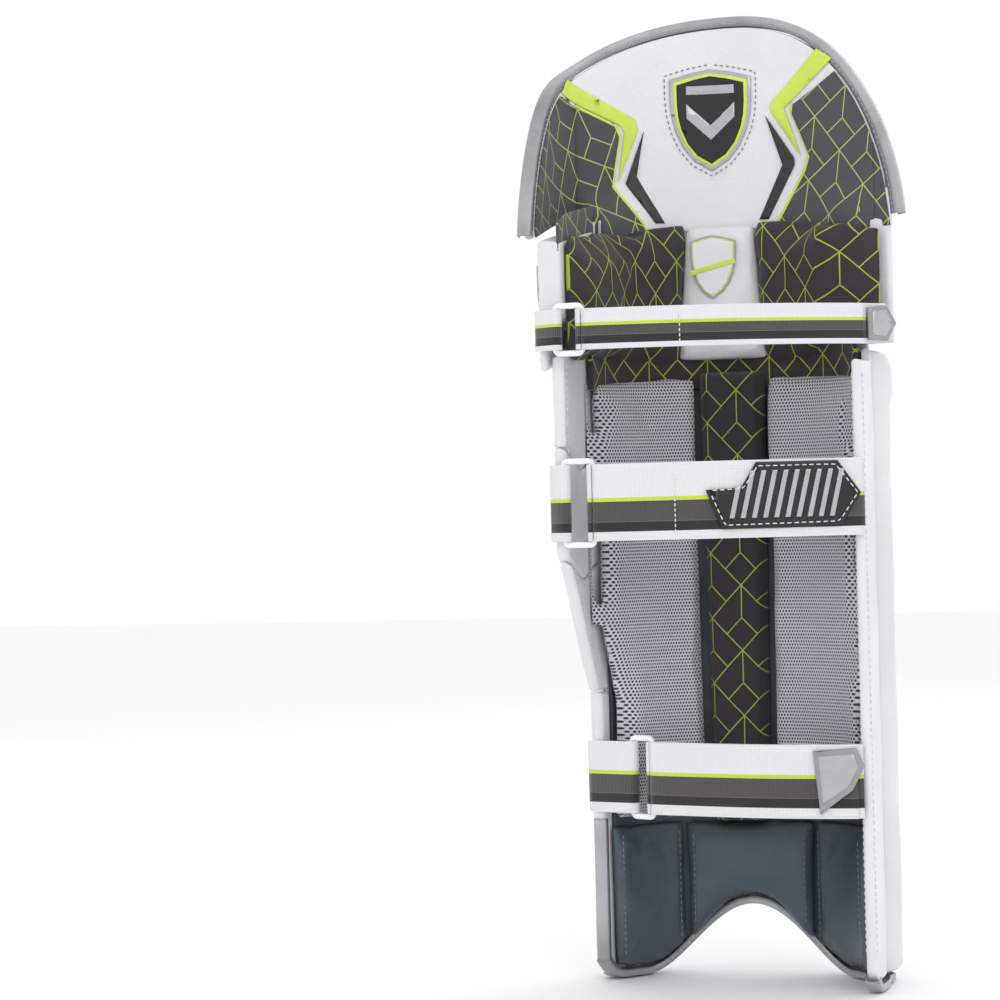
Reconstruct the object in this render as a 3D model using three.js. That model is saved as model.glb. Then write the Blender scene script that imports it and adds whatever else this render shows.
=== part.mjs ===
// Cricket leg pad for a left leg, standing upright on its two base lobes.
// Millimetres, +Z up the leg, the padded face towards -Y, the leg on the +Y side, the large wing towards +X.
// Most pieces are slabs bent round the leg. They are laid out by three numbers: u, the distance round
// the leg from the middle roll; offset, how far a point stands out from the facing board; and z.
import * as THREE from "three";

// ---- Driving dimensions -------------------------------------------------------------------------
const GAP = 0.4; // between pieces that touch
const ROLL_SEAMS = [-107, -81, -50.4, -16.8, 16.8, 50.4, 81, 107]; // u of the seams between shin rolls
const FACE_HALF = 107; // half of the rolled face, measured round the leg
const FACE_TURN = 65; // how far the face has turned at its edge, degrees
const KNEE_SEAMS = [440, 482, 507, 539]; // height of the seams of the knee rolls, at the middle
const KNEE_DROP = [9, 13, 14, 15]; // how far each of these seams drops at the side
const SHIN_ROLL = { base: 3.4, edge: 13.5, crown: 21.5 }; // offsets
const KNEE_FACE = [-98, 106]; // u of the ends of the knee rolls
const KNEE_ROLL = { base: 0, edge: 8, crown: 27 };
const FLAP_ROLL = { base: 0, edge: 9.5, crown: 16.5 };
const BOARD = { inner: -3, outer: -GAP }; // canvas backing board
const STIFFENER_OUTER = 3;
const BOLSTER_OUTER = -4; // the face of the bolsters that is sewn to the board
const BOLSTER_DEPTH = 20;
const WING = { inner: -3, outer: 6.5, reach: 80 };
const KNEE_WING = { inner: 7.2, outer: 13, reach: 84 };
const INNER_WING = { inner: -3, outer: 4.5, reach: 50 };
const ARCH = { height: 47, half: 80 }; // instep arch in the base
const BINDING = { height: 6, inner: -9, outer: 13 }; // base binding
const INSTEP = { half: 50.1, top: 124, drop: 10, edge: 8, crown: 20 };
const FLAP_PITCH = 34;
const FLAP_EDGE = { inner: 126, outer: 200, rim: 7 }; // u of the flap's outline on either side
const FLAP_BASE = { inner: 511, outer: 505 };
const FLAP_TOP = 666;
const STRAP_THICK = 1.5;
const RING = { bar: 4, thick: 3, fold: 3.6 }; // fold is the radius at which webbing goes round a bar
const PEEL_ROOT = RING.fold + STRAP_THICK / 2 + 0.1; // hinge line of a peeled strap, from the bar

const lerp = THREE.MathUtils.lerp;
const radians = THREE.MathUtils.degToRad;
const approach = (distance, reach) => 1 - Math.exp(-Math.max(distance, 0) / reach);
const roundness = (s) => 1 - (2 * s - 1) ** 2;

// ---- Plan lines: the direction of the facing board, in degrees, at u ------------------------------
function shinTurn(u) {
  const a = Math.abs(u);
  const face = FACE_TURN * (Math.min(a, FACE_HALF) / FACE_HALF) ** 1.6;
  const wrap = u > 0 ? 23 * approach(a - FACE_HALF, 18) : 35 * approach(a - FACE_HALF, 14);
  return Math.sign(u) * (face + wrap);
}

function kneeTurn(u) {
  const flare = -80;
  return u > flare ? shinTurn(u) : lerp(shinTurn(flare), -17, approach(flare - u, 7));
}

function flapTurn(u) {
  const a = Math.abs(u);
  const face = 26 * (1 - Math.exp(-((a / 52) ** 1.6)));
  const wrap = u > 0 ? 62 * approach(a - 112, 14) : 0;
  return Math.sign(u) * (face + wrap);
}

// A plan line maps (u, offset) to [x, y]; it is integrated from its direction.
function planLine(turn) {
  const step = 0.5;
  const reach = 220;
  const walk = (side) => {
    const points = [[0, 0]];
    for (let u = 0; u < reach; u += step) {
      const angle = radians(turn(side * (u + step / 2)));
      const [x, y] = points.at(-1);
      points.push([x + side * step * Math.cos(angle), y + side * step * Math.sin(angle)]);
    }
    return points;
  };
  const sides = { 1: walk(1), "-1": walk(-1) };
  return (u, offset = 0) => {
    const points = sides[u < 0 ? -1 : 1];
    const at = Math.abs(u) / step;
    const i = Math.min(Math.floor(at), points.length - 2);
    const angle = radians(turn(u));
    const x = lerp(points[i][0], points[i + 1][0], at - i);
    const y = lerp(points[i][1], points[i + 1][1], at - i);
    return [x + offset * Math.sin(angle), y - offset * Math.cos(angle)];
  };
}

const shinLine = planLine(shinTurn);
const kneeLine = planLine(kneeTurn);
const flapLine = planLine(flapTurn);

// ---- Outlines -----------------------------------------------------------------------------------
const kneeSeam = (i) => (u) => KNEE_SEAMS[i] - KNEE_DROP[i] * (Math.min(Math.abs(u), FACE_HALF) / FACE_HALF) ** 2;
const kneeBottom = kneeSeam(0);
const kneeTop = kneeSeam(3);
const shinTop = (u) => kneeBottom(u) - 4;
const flapBottom = (u) => kneeTop(u) + 4;

function baseLine(u) {
  if (Math.abs(u) < ARCH.half) return (ARCH.height * (1 + Math.cos((Math.PI * u) / ARCH.half))) / 2;
  if (u > 98) return 14 * ((u - 98) / 24) ** 2;
  if (u < -145) return 9 * ((-145 - u) / 12) ** 2;
  return 0;
}

const baseTop = (u) => baseLine(u) + BINDING.height + GAP;
const instepTop = (u) => INSTEP.top - INSTEP.drop * (u / INSTEP.half) ** 2;

// The flap's outline is a superellipse on either side of its apex. inset moves it inwards.
function flapOutline(u, inset = 0) {
  const outer = u > 0;
  const half = (outer ? FLAP_EDGE.outer : FLAP_EDGE.inner) - inset;
  const base = outer ? FLAP_BASE.outer : FLAP_BASE.inner;
  const q = outer ? 0.65 : 0.56;
  const share = Math.max(0, 1 - (Math.abs(u) / half) ** 2.2);
  return base + (FLAP_TOP - base - inset) * share ** q;
}

// A line through points, level beyond its ends.
function through(...points) {
  return (at) => {
    const x = THREE.MathUtils.clamp(at, points[0][0], points.at(-1)[0]);
    const i = Math.max(1, points.findIndex(([limit]) => limit >= x));
    const [[x0, y0], [x1, y1]] = [points[i - 1], points[i]];
    return lerp(y0, y1, (x - x0) / (x1 - x0));
  };
}

// How far the outer wing reaches round the leg, narrowing below the calf.
const wingReach = through([190, 13], [218, 27], [244, 42], [272, 60], [297, WING.reach]);
const wingEdge = (z) => FACE_HALF + wingReach(z);

// ---- Looks --------------------------------------------------------------------------------------
const paint = (color, roughness, metalness = 0) => () =>
  new THREE.MeshStandardMaterial({ color, roughness, metalness });
const whiteLeather = paint(0xf3f3f6, 0.45);
const silverBinding = paint(0x9a9ca0, 0.35, 0.4);
const meshFabric = paint(0x8c8c98, 0.9);
const latticeFabric = paint(0x2c262a, 0.85);
const slateLining = paint(0x46535c, 0.4);
const canvas = paint(0xdcdce0, 0.9);
const whiteWebbing = paint(0xf2f1f6, 0.8);
const ringPlastic = paint(0xf6f6f8, 0.25);
const tabSilver = paint(0xa8aaae, 0.35, 0.5);
const badgeBlack = paint(0x16181a, 0.25);
const foam = paint(0xc8c8c0, 0.95);

const pad = new THREE.Group();

function add(name, look, geometry) {
  const mesh = new THREE.Mesh(geometry, look());
  mesh.name = name;
  pad.add(mesh);
  return mesh;
}

// ---- Slabs bent round the leg ----------------------------------------------------------------------
// place(s, t, d) gives {u, z, offset} for s round the leg, t up it and d from the leg side (0) out (1).
function slab(line, across, up, place) {
  const geometry = new THREE.BoxGeometry(1, 1, 1, across, 1, up);
  const position = geometry.attributes.position;
  for (let i = 0; i < position.count; i++) {
    const { u, z, offset } = place(position.getX(i) + 0.5, position.getZ(i) + 0.5, 0.5 - position.getY(i));
    position.setXYZ(i, ...line(u, offset), z);
  }
  geometry.computeVertexNormals();
  return geometry;
}

// A roll that stands up the leg. Each row is [which end it is measured from, distance, share of thickness].
function uprightRoll(line, { left, right, low, high, rows, base, edge, crown }) {
  return slab(line, 4, rows.length - 1, (s, t, d) => {
    const [end, distance, share] = rows[Math.round(t * (rows.length - 1))];
    const u = lerp(left, right, s);
    const squeeze = Math.min(1, (high(u) - low(u)) / 50); // where the roll is short
    const z = end === "low" ? low(u) + distance * squeeze : high(u) - distance * squeeze;
    const outer = base + (edge - base + (crown - edge) * roundness(s)) * share;
    return { u, z, offset: lerp(base, outer, d) };
  });
}

// A plate between two heights, thinner at its rim.
function plate(line, { left, right, low, high, inner, outer, across = 4, up = 2, rim = 0.6 }) {
  return slab(line, across, up, (s, t, d) => {
    let z = (low(0) + high(0)) / 2;
    let u = 0;
    for (let pass = 0; pass < 6; pass++) {
      u = lerp(left(z), right(z), s);
      z = lerp(low(u), high(u), t);
    }
    const atRim = s < 0.01 || s > 0.99 || t < 0.01 || t > 0.99;
    const skin = typeof inner === "function" ? inner(u, z) : inner;
    const face = typeof outer === "function" ? outer(u, z) : outer;
    return { u, z, offset: d < 0.5 ? skin : lerp(skin, face, atRim ? rim : 1) };
  });
}

// A flat outline in (u, z) laid on a plan line between two offsets.
function inlay(line, shape, inner, outer) {
  const geometry = new THREE.ExtrudeGeometry(shape, { depth: 1, bevelEnabled: false, curveSegments: 5 });
  const position = geometry.attributes.position;
  for (let i = 0; i < position.count; i++) {
    const u = position.getX(i);
    const z = position.getY(i);
    position.setXYZ(i, ...line(u, lerp(inner, outer, position.getZ(i))), z);
  }
  geometry.computeVertexNormals();
  return geometry;
}

function shield(u, z, width, height) {
  const shape = new THREE.Shape();
  const w = width / 2;
  const top = z + height / 2;
  shape.moveTo(u, top);
  shape.quadraticCurveTo(u + 0.6 * w, top - 0.02 * height, u + w, top - 0.12 * height);
  shape.quadraticCurveTo(u + 0.95 * w, z - 0.22 * height, u, z - height / 2);
  shape.quadraticCurveTo(u - 0.95 * w, z - 0.22 * height, u - w, top - 0.12 * height);
  shape.quadraticCurveTo(u - 0.6 * w, top - 0.02 * height, u, top);
  return shape;
}

const fixed = (value) => () => value;

// ---- Shin ---------------------------------------------------------------------------------------
function buildShin() {
  const rows = [
    ["low", 0, 0.55],
    ["low", 6, 1],
    ["high", 42, 1],
    ["high", 33, 1.22],
    ["high", 9, 1.22],
    ["high", 0, 0.55],
  ];
  for (let i = 0; i < 7; i++) {
    const low = i >= 2 && i <= 4 ? (u) => instepTop(u) + GAP : baseTop;
    const [left, right] = [ROLL_SEAMS[i] + GAP / 2, ROLL_SEAMS[i + 1] - GAP / 2];
    const geometry = uprightRoll(shinLine, { left, right, low, high: shinTop, rows, ...SHIN_ROLL });
    add(`shin_roll_${i + 1}`, whiteLeather, geometry);
  }
  const hidden = (u) => baseTop(u) + 2;
  const face = { left: fixed(-106), right: fixed(106), low: hidden, high: shinTop, across: 14, up: 1, rim: 1 };
  add("shin_stiffener", foam, plate(shinLine, { ...face, inner: 0, outer: STIFFENER_OUTER }));
  add("shin_backing", canvas, plate(shinLine, { ...face, inner: BOARD.inner, outer: BOARD.outer }));
  buildInstep();
  buildOuterWing();
  const innerWing = { left: fixed(-FACE_HALF - INNER_WING.reach), right: fixed(-FACE_HALF - GAP) };
  const innerWingEnds = { low: (u) => baseTop(u) + GAP, high: fixed(416), ...INNER_WING, across: 6, up: 3 };
  add("inner_wing", whiteLeather, plate(shinLine, { ...innerWing, ...innerWingEnds }));
  buildBolsters();
  buildAnkleLining();
  const band = { left: fixed(-FACE_HALF - INNER_WING.reach), right: fixed(120), across: 46, up: 1, rim: 1 };
  const bandEnds = { low: baseLine, high: (u) => baseLine(u) + BINDING.height };
  add("base_binding", silverBinding, plate(shinLine, { ...band, ...bandEnds, ...BINDING }));
}

function buildInstep() {
  const geometry = slab(shinLine, 12, 4, (s, t, d) => {
    const u = lerp(-INSTEP.half, INSTEP.half, s);
    const z = lerp(baseTop(u), instepTop(u), t);
    const swell = Math.sqrt(roundness(s) * roundness(t));
    return { u, z, offset: d < 0.5 ? SHIN_ROLL.base : lerp(INSTEP.edge, INSTEP.crown, swell) };
  });
  add("instep_panel", whiteLeather, geometry);
  add("instep_badge", badgeBlack, inlay(shinLine, shield(0, 86, 40, 48), INSTEP.crown + 0.6, INSTEP.crown + 2.4));
}

// Three overlapping-looking armour segments; each seam dips to a point in the middle of the wing.
function buildOuterWing() {
  const left = fixed(FACE_HALF + GAP);
  const middle = FACE_HALF + 40;
  const seam = (tip) => (u) => tip + 16 * Math.min(1, Math.abs(u - middle) / 40);
  const top = (u) => 442 - 14 * ((u - FACE_HALF) / WING.reach);
  const seams = [top, seam(351), seam(277), fixed(200)];
  const names = ["outer_wing_upper", "outer_wing_middle", "outer_wing_lower"];
  names.forEach((name, i) => {
    const ends = { high: seams[i], low: (u) => seams[i + 1](u) + GAP };
    const shape = { left, right: wingEdge, ...ends, ...WING, across: 6, up: 3 };
    add(name, whiteLeather, plate(shinLine, shape));
  });
  const strip = { left, right: fixed(120), low: (u) => baseTop(u) + GAP, high: fixed(200), ...WING, across: 2, up: 3 };
  add("outer_side_strip", whiteLeather, plate(shinLine, strip));
}

const STRIP = { middle: 5, top: 24, bottom: 20, low: 108, high: 414 };
const stripHalf = (z) => lerp(STRIP.bottom, STRIP.top, (z - STRIP.low) / (STRIP.high - STRIP.low));

function bolsterFace(end) {
  return (u) => {
    const far = Math.abs((u - STRIP.middle) / (end - STRIP.middle));
    return BOLSTER_OUTER - lerp(BOLSTER_DEPTH, 9, THREE.MathUtils.smoothstep(far, 0.6, 1));
  };
}

function buildBolsters() {
  const heights = { low: fixed(STRIP.low), high: fixed(STRIP.high) };
  const strip = { left: (z) => STRIP.middle - stripHalf(z), right: (z) => STRIP.middle + stripHalf(z) };
  const stripShape = { ...strip, ...heights, inner: BOLSTER_OUTER - BOLSTER_DEPTH, outer: BOLSTER_OUTER, rim: 1 };
  add("centre_strip", latticeFabric, plate(shinLine, { ...stripShape, across: 2, up: 1 }));
  const outerEnd = (z) => Math.min(wingEdge(z) - 5, FACE_HALF + 38);
  const outer = { left: (z) => strip.right(z) + GAP, right: outerEnd, ...heights };
  const inner = { left: fixed(-138), right: (z) => strip.left(z) - GAP, ...heights };
  const shape = { outer: BOLSTER_OUTER, across: 8, up: 6, rim: 1 };
  add("mesh_bolster_outer", meshFabric, plate(shinLine, { ...outer, ...shape, inner: bolsterFace(FACE_HALF + 38) }));
  add("mesh_bolster_inner", meshFabric, plate(shinLine, { ...inner, ...shape, inner: bolsterFace(-138) }));
}

function buildAnkleLining() {
  const panels = [
    ["ankle_lining_inner", -140, -48, 11],
    ["ankle_lining_centre", -48, 48, 15],
    ["ankle_lining_outer", 48, 116, 11],
  ];
  for (const [name, left, right, depth] of panels) {
    const geometry = slab(shinLine, 12, 3, (s, t, d) => {
      const u = lerp(left + GAP / 2, right - GAP / 2, s);
      const z = lerp(baseTop(u), STRIP.low - GAP, t);
      const swell = Math.sqrt(roundness(s) * roundness(t));
      return { u, z, offset: d > 0.5 ? BOLSTER_OUTER : BOLSTER_OUTER - lerp(5, depth, swell) };
    });
    add(name, slateLining, geometry);
  }
}

// ---- Knee block ---------------------------------------------------------------------------------
const CUP = { middle: 11, top: 25, bottom: 33, low: 424, high: 522 };
const cupHalf = (z) => lerp(CUP.bottom, CUP.top, (z - CUP.low) / (CUP.high - CUP.low));

function buildKnee() {
  const shares = [0.3, 0.85, 1, 0.85, 0.3];
  ["knee_roll_lower", "knee_roll_middle", "knee_roll_upper"].forEach((name, i) => {
    const [low, high] = [kneeSeam(i), kneeSeam(i + 1)];
    const geometry = slab(kneeLine, 12, 4, (s, t, d) => {
      const u = lerp(KNEE_FACE[0], KNEE_FACE[1], s);
      const z = lerp(low(u) + GAP / 2, high(u) - GAP / 2, t);
      const end = s < 0.01 || s > 0.99 ? 0.4 : 1;
      const { base, edge, crown } = KNEE_ROLL;
      return { u, z, offset: lerp(base, Math.max(edge * end, crown * end * shares[Math.round(t * 4)]), d) };
    });
    add(name, whiteLeather, geometry);
  });
  const board = { left: fixed(KNEE_FACE[0]), right: fixed(KNEE_FACE[1]), low: (u) => kneeBottom(u) + 2, high: kneeTop };
  add("knee_backing", canvas, plate(kneeLine, { ...board, ...BOARD, across: 12, up: 1, rim: 1 }));
  const flange = { left: fixed(-118), right: fixed(KNEE_FACE[0] - GAP), low: fixed(432), high: fixed(519) };
  add("knee_inner_panel", whiteLeather, plate(kneeLine, { ...flange, inner: 0, outer: 7, across: 2, up: 2 }));
  buildKneeWing();
  buildKneeCushions();
}

function buildKneeWing() {
  const { inner, outer, reach } = KNEE_WING;
  const slope = (u) => 15 * ((u - FACE_HALF) / reach);
  const geometry = slab(shinLine, 6, 4, (s, t, d) => {
    const u = lerp(FACE_HALF + 7, FACE_HALF + reach, s);
    const row = Math.round(t * 4);
    const z = [432, 446, 448, 490, 520][row] - slope(u) * (row === 1 || row === 2 ? 0.1 : 1);
    const skin = t > 0.4 ? -3 : inner;
    return { u, z, offset: d > 0.5 ? outer : skin };
  });
  add("knee_wing", whiteLeather, geometry);
  add("knee_wing_badge", badgeBlack, inlay(shinLine, shield(170, 470, 34, 45), outer + GAP, outer + 2));
}

function buildKneeCushions() {
  const cup = { left: (z) => CUP.middle - cupHalf(z), right: (z) => CUP.middle + cupHalf(z) };
  const cupShape = { ...cup, low: fixed(CUP.low), high: fixed(CUP.high), outer: BOLSTER_OUTER, rim: 1 };
  add("knee_centre_pad", whiteLeather, plate(kneeLine, { ...cupShape, inner: -24.5, across: 4, up: 3 }));
  const low = (u) => 421 + 10 * THREE.MathUtils.smoothstep(-u, 50, 80);
  const top = (u) => CUP.high - 13 * (Math.abs(u) / 175) ** 2;
  const soft = { low, high: top, outer: BOLSTER_OUTER, across: 9, up: 3, rim: 1 };
  const outer = { left: (z) => cup.right(z) + GAP, right: fixed(175), inner: bolsterFace(175) };
  const inner = { left: fixed(-118), right: (z) => cup.left(z) - GAP, inner: bolsterFace(-118) };
  add("knee_bolster_outer", latticeFabric, plate(kneeLine, { ...soft, ...outer }));
  add("knee_bolster_inner", latticeFabric, plate(kneeLine, { ...soft, ...inner }));
}

// ---- Top flap -----------------------------------------------------------------------------------
function buildFlap() {
  const inset = FLAP_EDGE.rim + GAP;
  const rows = [
    ["low", 0, 0.4],
    ["low", 6, 1.35],
    ["low", 23, 1.35],
    ["low", 31, 1],
    ["high", 5, 1],
    ["high", 0, 0.6],
  ];
  for (let i = 0; i < 7; i++) {
    const left = Math.max((i - 3.5) * FLAP_PITCH, -FLAP_EDGE.inner + inset + 5) + GAP / 2;
    const right = (i - 2.5) * FLAP_PITCH - GAP / 2;
    const shape = { left, right, low: flapBottom, high: (u) => flapOutline(u, inset), rows, ...FLAP_ROLL };
    add(`flap_roll_${i + 1}`, whiteLeather, uprightRoll(flapLine, shape));
  }
  const board = { left: fixed(-FLAP_EDGE.inner + inset + 5), right: fixed(118), low: flapBottom };
  const boardShape = { ...board, high: (u) => flapOutline(u, inset + 1), ...BOARD, across: 20, up: 1, rim: 1 };
  add("flap_backing", whiteLeather, plate(flapLine, boardShape));
  const side = { left: fixed(3.5 * FLAP_PITCH + GAP), right: fixed(192), inner: BOARD.inner, outer: 4.5 };
  const sideEnds = { low: (u) => 526 - 21 * ((u - 119) / 81), high: (u) => flapOutline(u, inset) };
  add("flap_side_panel", whiteLeather, plate(flapLine, { ...side, ...sideEnds, across: 8, up: 2 }));
  add("flap_binding", silverBinding, slab(flapLine, 36, 1, (s, t, d) => {
    const swing = Math.sin(radians(lerp(-90, 90, s)));
    const half = (swing < 0 ? FLAP_EDGE.inner : FLAP_EDGE.outer) - (t < 0.5 ? FLAP_EDGE.rim : 0);
    const u = half * swing;
    return { u, z: flapOutline(u, t < 0.5 ? FLAP_EDGE.rim : 0), offset: lerp(BOARD.inner, 7, d) };
  }));
  add("flap_badge", badgeBlack, inlay(flapLine, shield(16, 594, 58, 71), BOARD.inner - 2.4, BOARD.inner - GAP));
}

// ---- Straps -------------------------------------------------------------------------------------
// The webbing runs from where it is sewn to the inner side, through a ring on the outer wing, and back.
// along maps the distance from the ring's inner bar, and the offset outwards, to [x, y].
function strapLine(sewn, bar, bulge) {
  const chord = [sewn[0] - bar[0], sewn[1] - bar[1]];
  const length = Math.hypot(...chord);
  const out = [chord[1] / length, -chord[0] / length];
  const mid = (s) => [0, 1].map((k) => bar[k] + chord[k] * s + out[k] * 4 * bulge * s * (1 - s));
  const along = (distance, offset = 0) => {
    const s = distance / length;
    const [x, y] = mid(s);
    const slope = (4 * bulge * (1 - 2 * s)) / length;
    const scale = Math.hypot(1, slope);
    const tangent = [0, 1].map((k) => (chord[k] / length + out[k] * slope) / scale);
    return [x + offset * tangent[1], y - offset * tangent[0]];
  };
  return { along, length };
}

// Webbing on edge: a plan polyline given a thickness and raised between two heights.
function webbing(points, thick, low, high) {
  const sides = [[], []];
  points.forEach(([x, y], i) => {
    const [x0, y0] = points[Math.max(i - 1, 0)];
    const [x1, y1] = points[Math.min(i + 1, points.length - 1)];
    const length = Math.hypot(x1 - x0, y1 - y0);
    const [nx, ny] = [(y0 - y1) / length, (x1 - x0) / length];
    sides[0].push(new THREE.Vector2(x + (nx * thick) / 2, y + (ny * thick) / 2));
    sides[1].unshift(new THREE.Vector2(x - (nx * thick) / 2, y - (ny * thick) / 2));
  });
  const shape = new THREE.Shape([...sides[0], ...sides[1]]);
  const geometry = new THREE.ExtrudeGeometry(shape, { depth: high - low, bevelEnabled: false });
  return geometry.translate(0, 0, low);
}

function ringGeometry(width, height) {
  const outline = (w, h, r) => {
    const path = new THREE.Shape();
    path.absarc(w / 2 - r, h / 2 - r, r, 0, Math.PI / 2);
    path.absarc(-w / 2 + r, h / 2 - r, r, Math.PI / 2, Math.PI);
    path.absarc(-w / 2 + r, -h / 2 + r, r, Math.PI, 1.5 * Math.PI);
    path.absarc(w / 2 - r, -h / 2 + r, r, 1.5 * Math.PI, 2 * Math.PI);
    return path;
  };
  const shape = outline(width, height, 4);
  shape.holes.push(outline(width - 2 * RING.bar, height - 2 * RING.bar, 1));
  const geometry = new THREE.ExtrudeGeometry(shape, { depth: RING.thick, bevelEnabled: false, curveSegments: 3 });
  return geometry.translate(0, 0, -RING.thick / 2);
}

const arc = (centre, [ex, ey], [fx, fy], radius, from, to, steps) =>
  Array.from({ length: steps + 1 }, (_, i) => {
    const a = radians(lerp(from, to, i / steps));
    const [c, s] = [radius * Math.cos(a), radius * Math.sin(a)];
    return [centre[0] + ex * c + fx * s, centre[1] + ey * c + fy * s];
  });

// One strap set. tabShape is given in (distance from the ring, z); reach is where the return leg ends.
function buildStrap(name, { low, high, sewn, bar, bulge, ringWidth, wing, reach, tabShape, endName }) {
  const { along, length } = strapLine(sewn, bar, bulge);
  const atBar = along(0);
  const outwards = [0, 1].map((k) => along(0, 1)[k] - atBar[k]);
  const towards = [outwards[1], -outwards[0]]; // from the inner bar to the outer bar
  const lift = (distance) => lerp(RING.fold, 0.95, THREE.MathUtils.smoothstep(distance, 0, 40));
  const run = (from, to, side) =>
    Array.from({ length: 15 }, (_, i) => {
      const distance = lerp(from, to, i / 14);
      return along(distance, side * lift(distance));
    });
  const fold = arc(atBar, towards, outwards, RING.fold, -75, 90, 6);
  add(`${name}_strap`, whiteWebbing, webbing([...run(length, 2, -1), ...fold], STRAP_THICK, low, high));
  const leg = add(`${name}_strap_return`, whiteWebbing, webbing(run(0.7, reach, 1), STRAP_THICK, low, high));
  leg.userData.hinge = along(0, PEEL_ROOT); // it peels open about an upright line here

  const ringHeight = high - low + 2 * RING.bar - 1.5;
  const span = ringWidth - RING.bar;
  const ring = add(`${name}_ring`, ringPlastic, ringGeometry(ringWidth, ringHeight + 2));
  const [rx, ry] = [0, 1].map((k) => atBar[k] + (towards[k] * span) / 2);
  ring.matrixAutoUpdate = false;
  ring.matrix.makeBasis(
    new THREE.Vector3(-towards[0], -towards[1], 0),
    new THREE.Vector3(0, 0, 1),
    new THREE.Vector3(...outwards, 0),
  );
  ring.matrix.setPosition(rx, ry, (low + high) / 2);

  const outerBar = [0, 1].map((k) => atBar[k] + towards[k] * span);
  const loop = arc(outerBar, towards, outwards, RING.fold, 90, 270, 8);
  const tail = [0, 1].map((k) => outerBar[k] + towards[k] * 6 - outwards[k] * RING.fold);
  add(`${name}_anchor`, whiteWebbing, webbing([...wing, ...loop, tail], STRAP_THICK, low, high));

  const tabBase = 0.95 + STRAP_THICK / 2 + GAP;
  const outline = tabShape(length);
  const between = { inner: tabBase, outer: tabBase + 2.6, across: 10, up: 1, rim: 1 };
  const tab = outline instanceof THREE.Shape ? inlay(along, outline, tabBase, tabBase + 2.6) : plate(along, { ...outline, ...between });
  add(endName, tabSilver, tab);
}

const polygon = (points) => new THREE.Shape(points.map(([x, y]) => new THREE.Vector2(x, y)));

function buildStraps() {
  const kneeTab = (length) => polygon([
    [length - 16, 455], [length - 2, 456.5], [length + 5, 444.5], [length - 2, 432.5], [length - 16, 434],
  ]);
  // The calf tab is long enough to need to follow the strap's curve, so it is laid out as a plate.
  const calfTab = (length) => ({
    left: fixed(length - 99),
    right: fixed(length + 2),
    low: through([length - 99, 335], [length - 89, 310], [length - 11, 311], [length + 2, 331]),
    high: through([length - 99, 337], [length - 76, 337], [length - 66, 353.5], [length - 13, 353.5], [length + 2, 333]),
  });
  const ankleTab = (length) => polygon([
    [length - 32, 162], [length - 4, 164], [length + 1, 152], [length - 7, 136], [length - 28, 120],
  ]);
  const kneeEdge = [shinLine(FACE_HALF + 83.6, 14.4), shinLine(FACE_HALF + 85.6, 13)];
  const kneeSewn = [-109, 56];
  buildStrap("knee", {
    low: 431, high: 458, sewn: kneeSewn, bar: [83, 132], bulge: 22, ringWidth: 22,
    wing: kneeEdge, reach: 190, tabShape: kneeTab, endName: "knee_tab",
  });
  const wingCorner = [shinLine(FACE_HALF + 79.6, 7.8), shinLine(FACE_HALF + 83.5, 6.5)];
  const innerEdge = shinLine(-FACE_HALF - INNER_WING.reach, 0);
  const sewn = [innerEdge[0], innerEdge[1] + 4];
  buildStrap("calf", {
    low: 304, high: 355, sewn, bar: [79, 128], bulge: 12, ringWidth: 24,
    wing: wingCorner, reach: 178, tabShape: calfTab, endName: "calf_tab",
  });
  const stripCorner = [shinLine(120.2, 7.8), shinLine(121.8, 5)];
  buildStrap("ankle", {
    low: 117, high: 166, sewn, bar: [56, 68], bulge: 10, ringWidth: 21,
    wing: stripCorner, reach: 146, tabShape: ankleTab, endName: "ankle_tab",
  });
}

buildShin();
buildKnee();
buildFlap();
buildStraps();

// The origin is under the middle of the pad's bounding box.
pad.updateMatrixWorld(true);
const bounds = new THREE.Box3().setFromObject(pad, true);
const leg = new THREE.Group();
pad.position.set(-(bounds.min.x + bounds.max.x) / 2, -(bounds.min.y + bounds.max.y) / 2, -bounds.min.z);
leg.add(pad);

export default leg;
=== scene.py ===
import math

import bmesh
import bpy
import numpy as np
from mathutils import Matrix, Vector
from mathutils.geometry import tessellate_polygon


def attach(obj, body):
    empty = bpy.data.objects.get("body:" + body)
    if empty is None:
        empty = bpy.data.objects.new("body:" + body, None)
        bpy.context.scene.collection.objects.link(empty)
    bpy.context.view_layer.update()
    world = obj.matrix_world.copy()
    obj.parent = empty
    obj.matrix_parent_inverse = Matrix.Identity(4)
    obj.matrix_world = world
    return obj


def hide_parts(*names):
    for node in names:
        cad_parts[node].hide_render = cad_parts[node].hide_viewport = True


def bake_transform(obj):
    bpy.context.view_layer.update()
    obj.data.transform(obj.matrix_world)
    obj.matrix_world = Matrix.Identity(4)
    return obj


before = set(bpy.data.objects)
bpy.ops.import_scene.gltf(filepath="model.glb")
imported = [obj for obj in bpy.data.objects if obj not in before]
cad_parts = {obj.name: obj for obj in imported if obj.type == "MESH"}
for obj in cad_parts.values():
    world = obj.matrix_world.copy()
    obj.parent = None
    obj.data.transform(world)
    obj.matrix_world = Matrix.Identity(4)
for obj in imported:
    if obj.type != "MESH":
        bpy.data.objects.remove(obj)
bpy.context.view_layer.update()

# ---- The pad's own plan ---------------------------------------------------------------------------
# All shapes are set out in millimetres on the facing board: u runs round the leg from the middle roll
# (outer side positive), z is the height and offset stands out from the board (front positive).
BOARD_AT = np.array([-4.326, -54.687])  # where the middle of the facing board lies in the shared frame, mm
FACE_HALF = 107
SHIN_SEAMS = [-107, -81, -50.4, -16.8, 16.8, 50.4, 81, 107]
KNEE_SEAMS = [440, 482, 507, 539]
KNEE_DROP = [9, 13, 14, 15]
KNEE_FACE = (-98, 106)
FLAP_PITCH = 34
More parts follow.
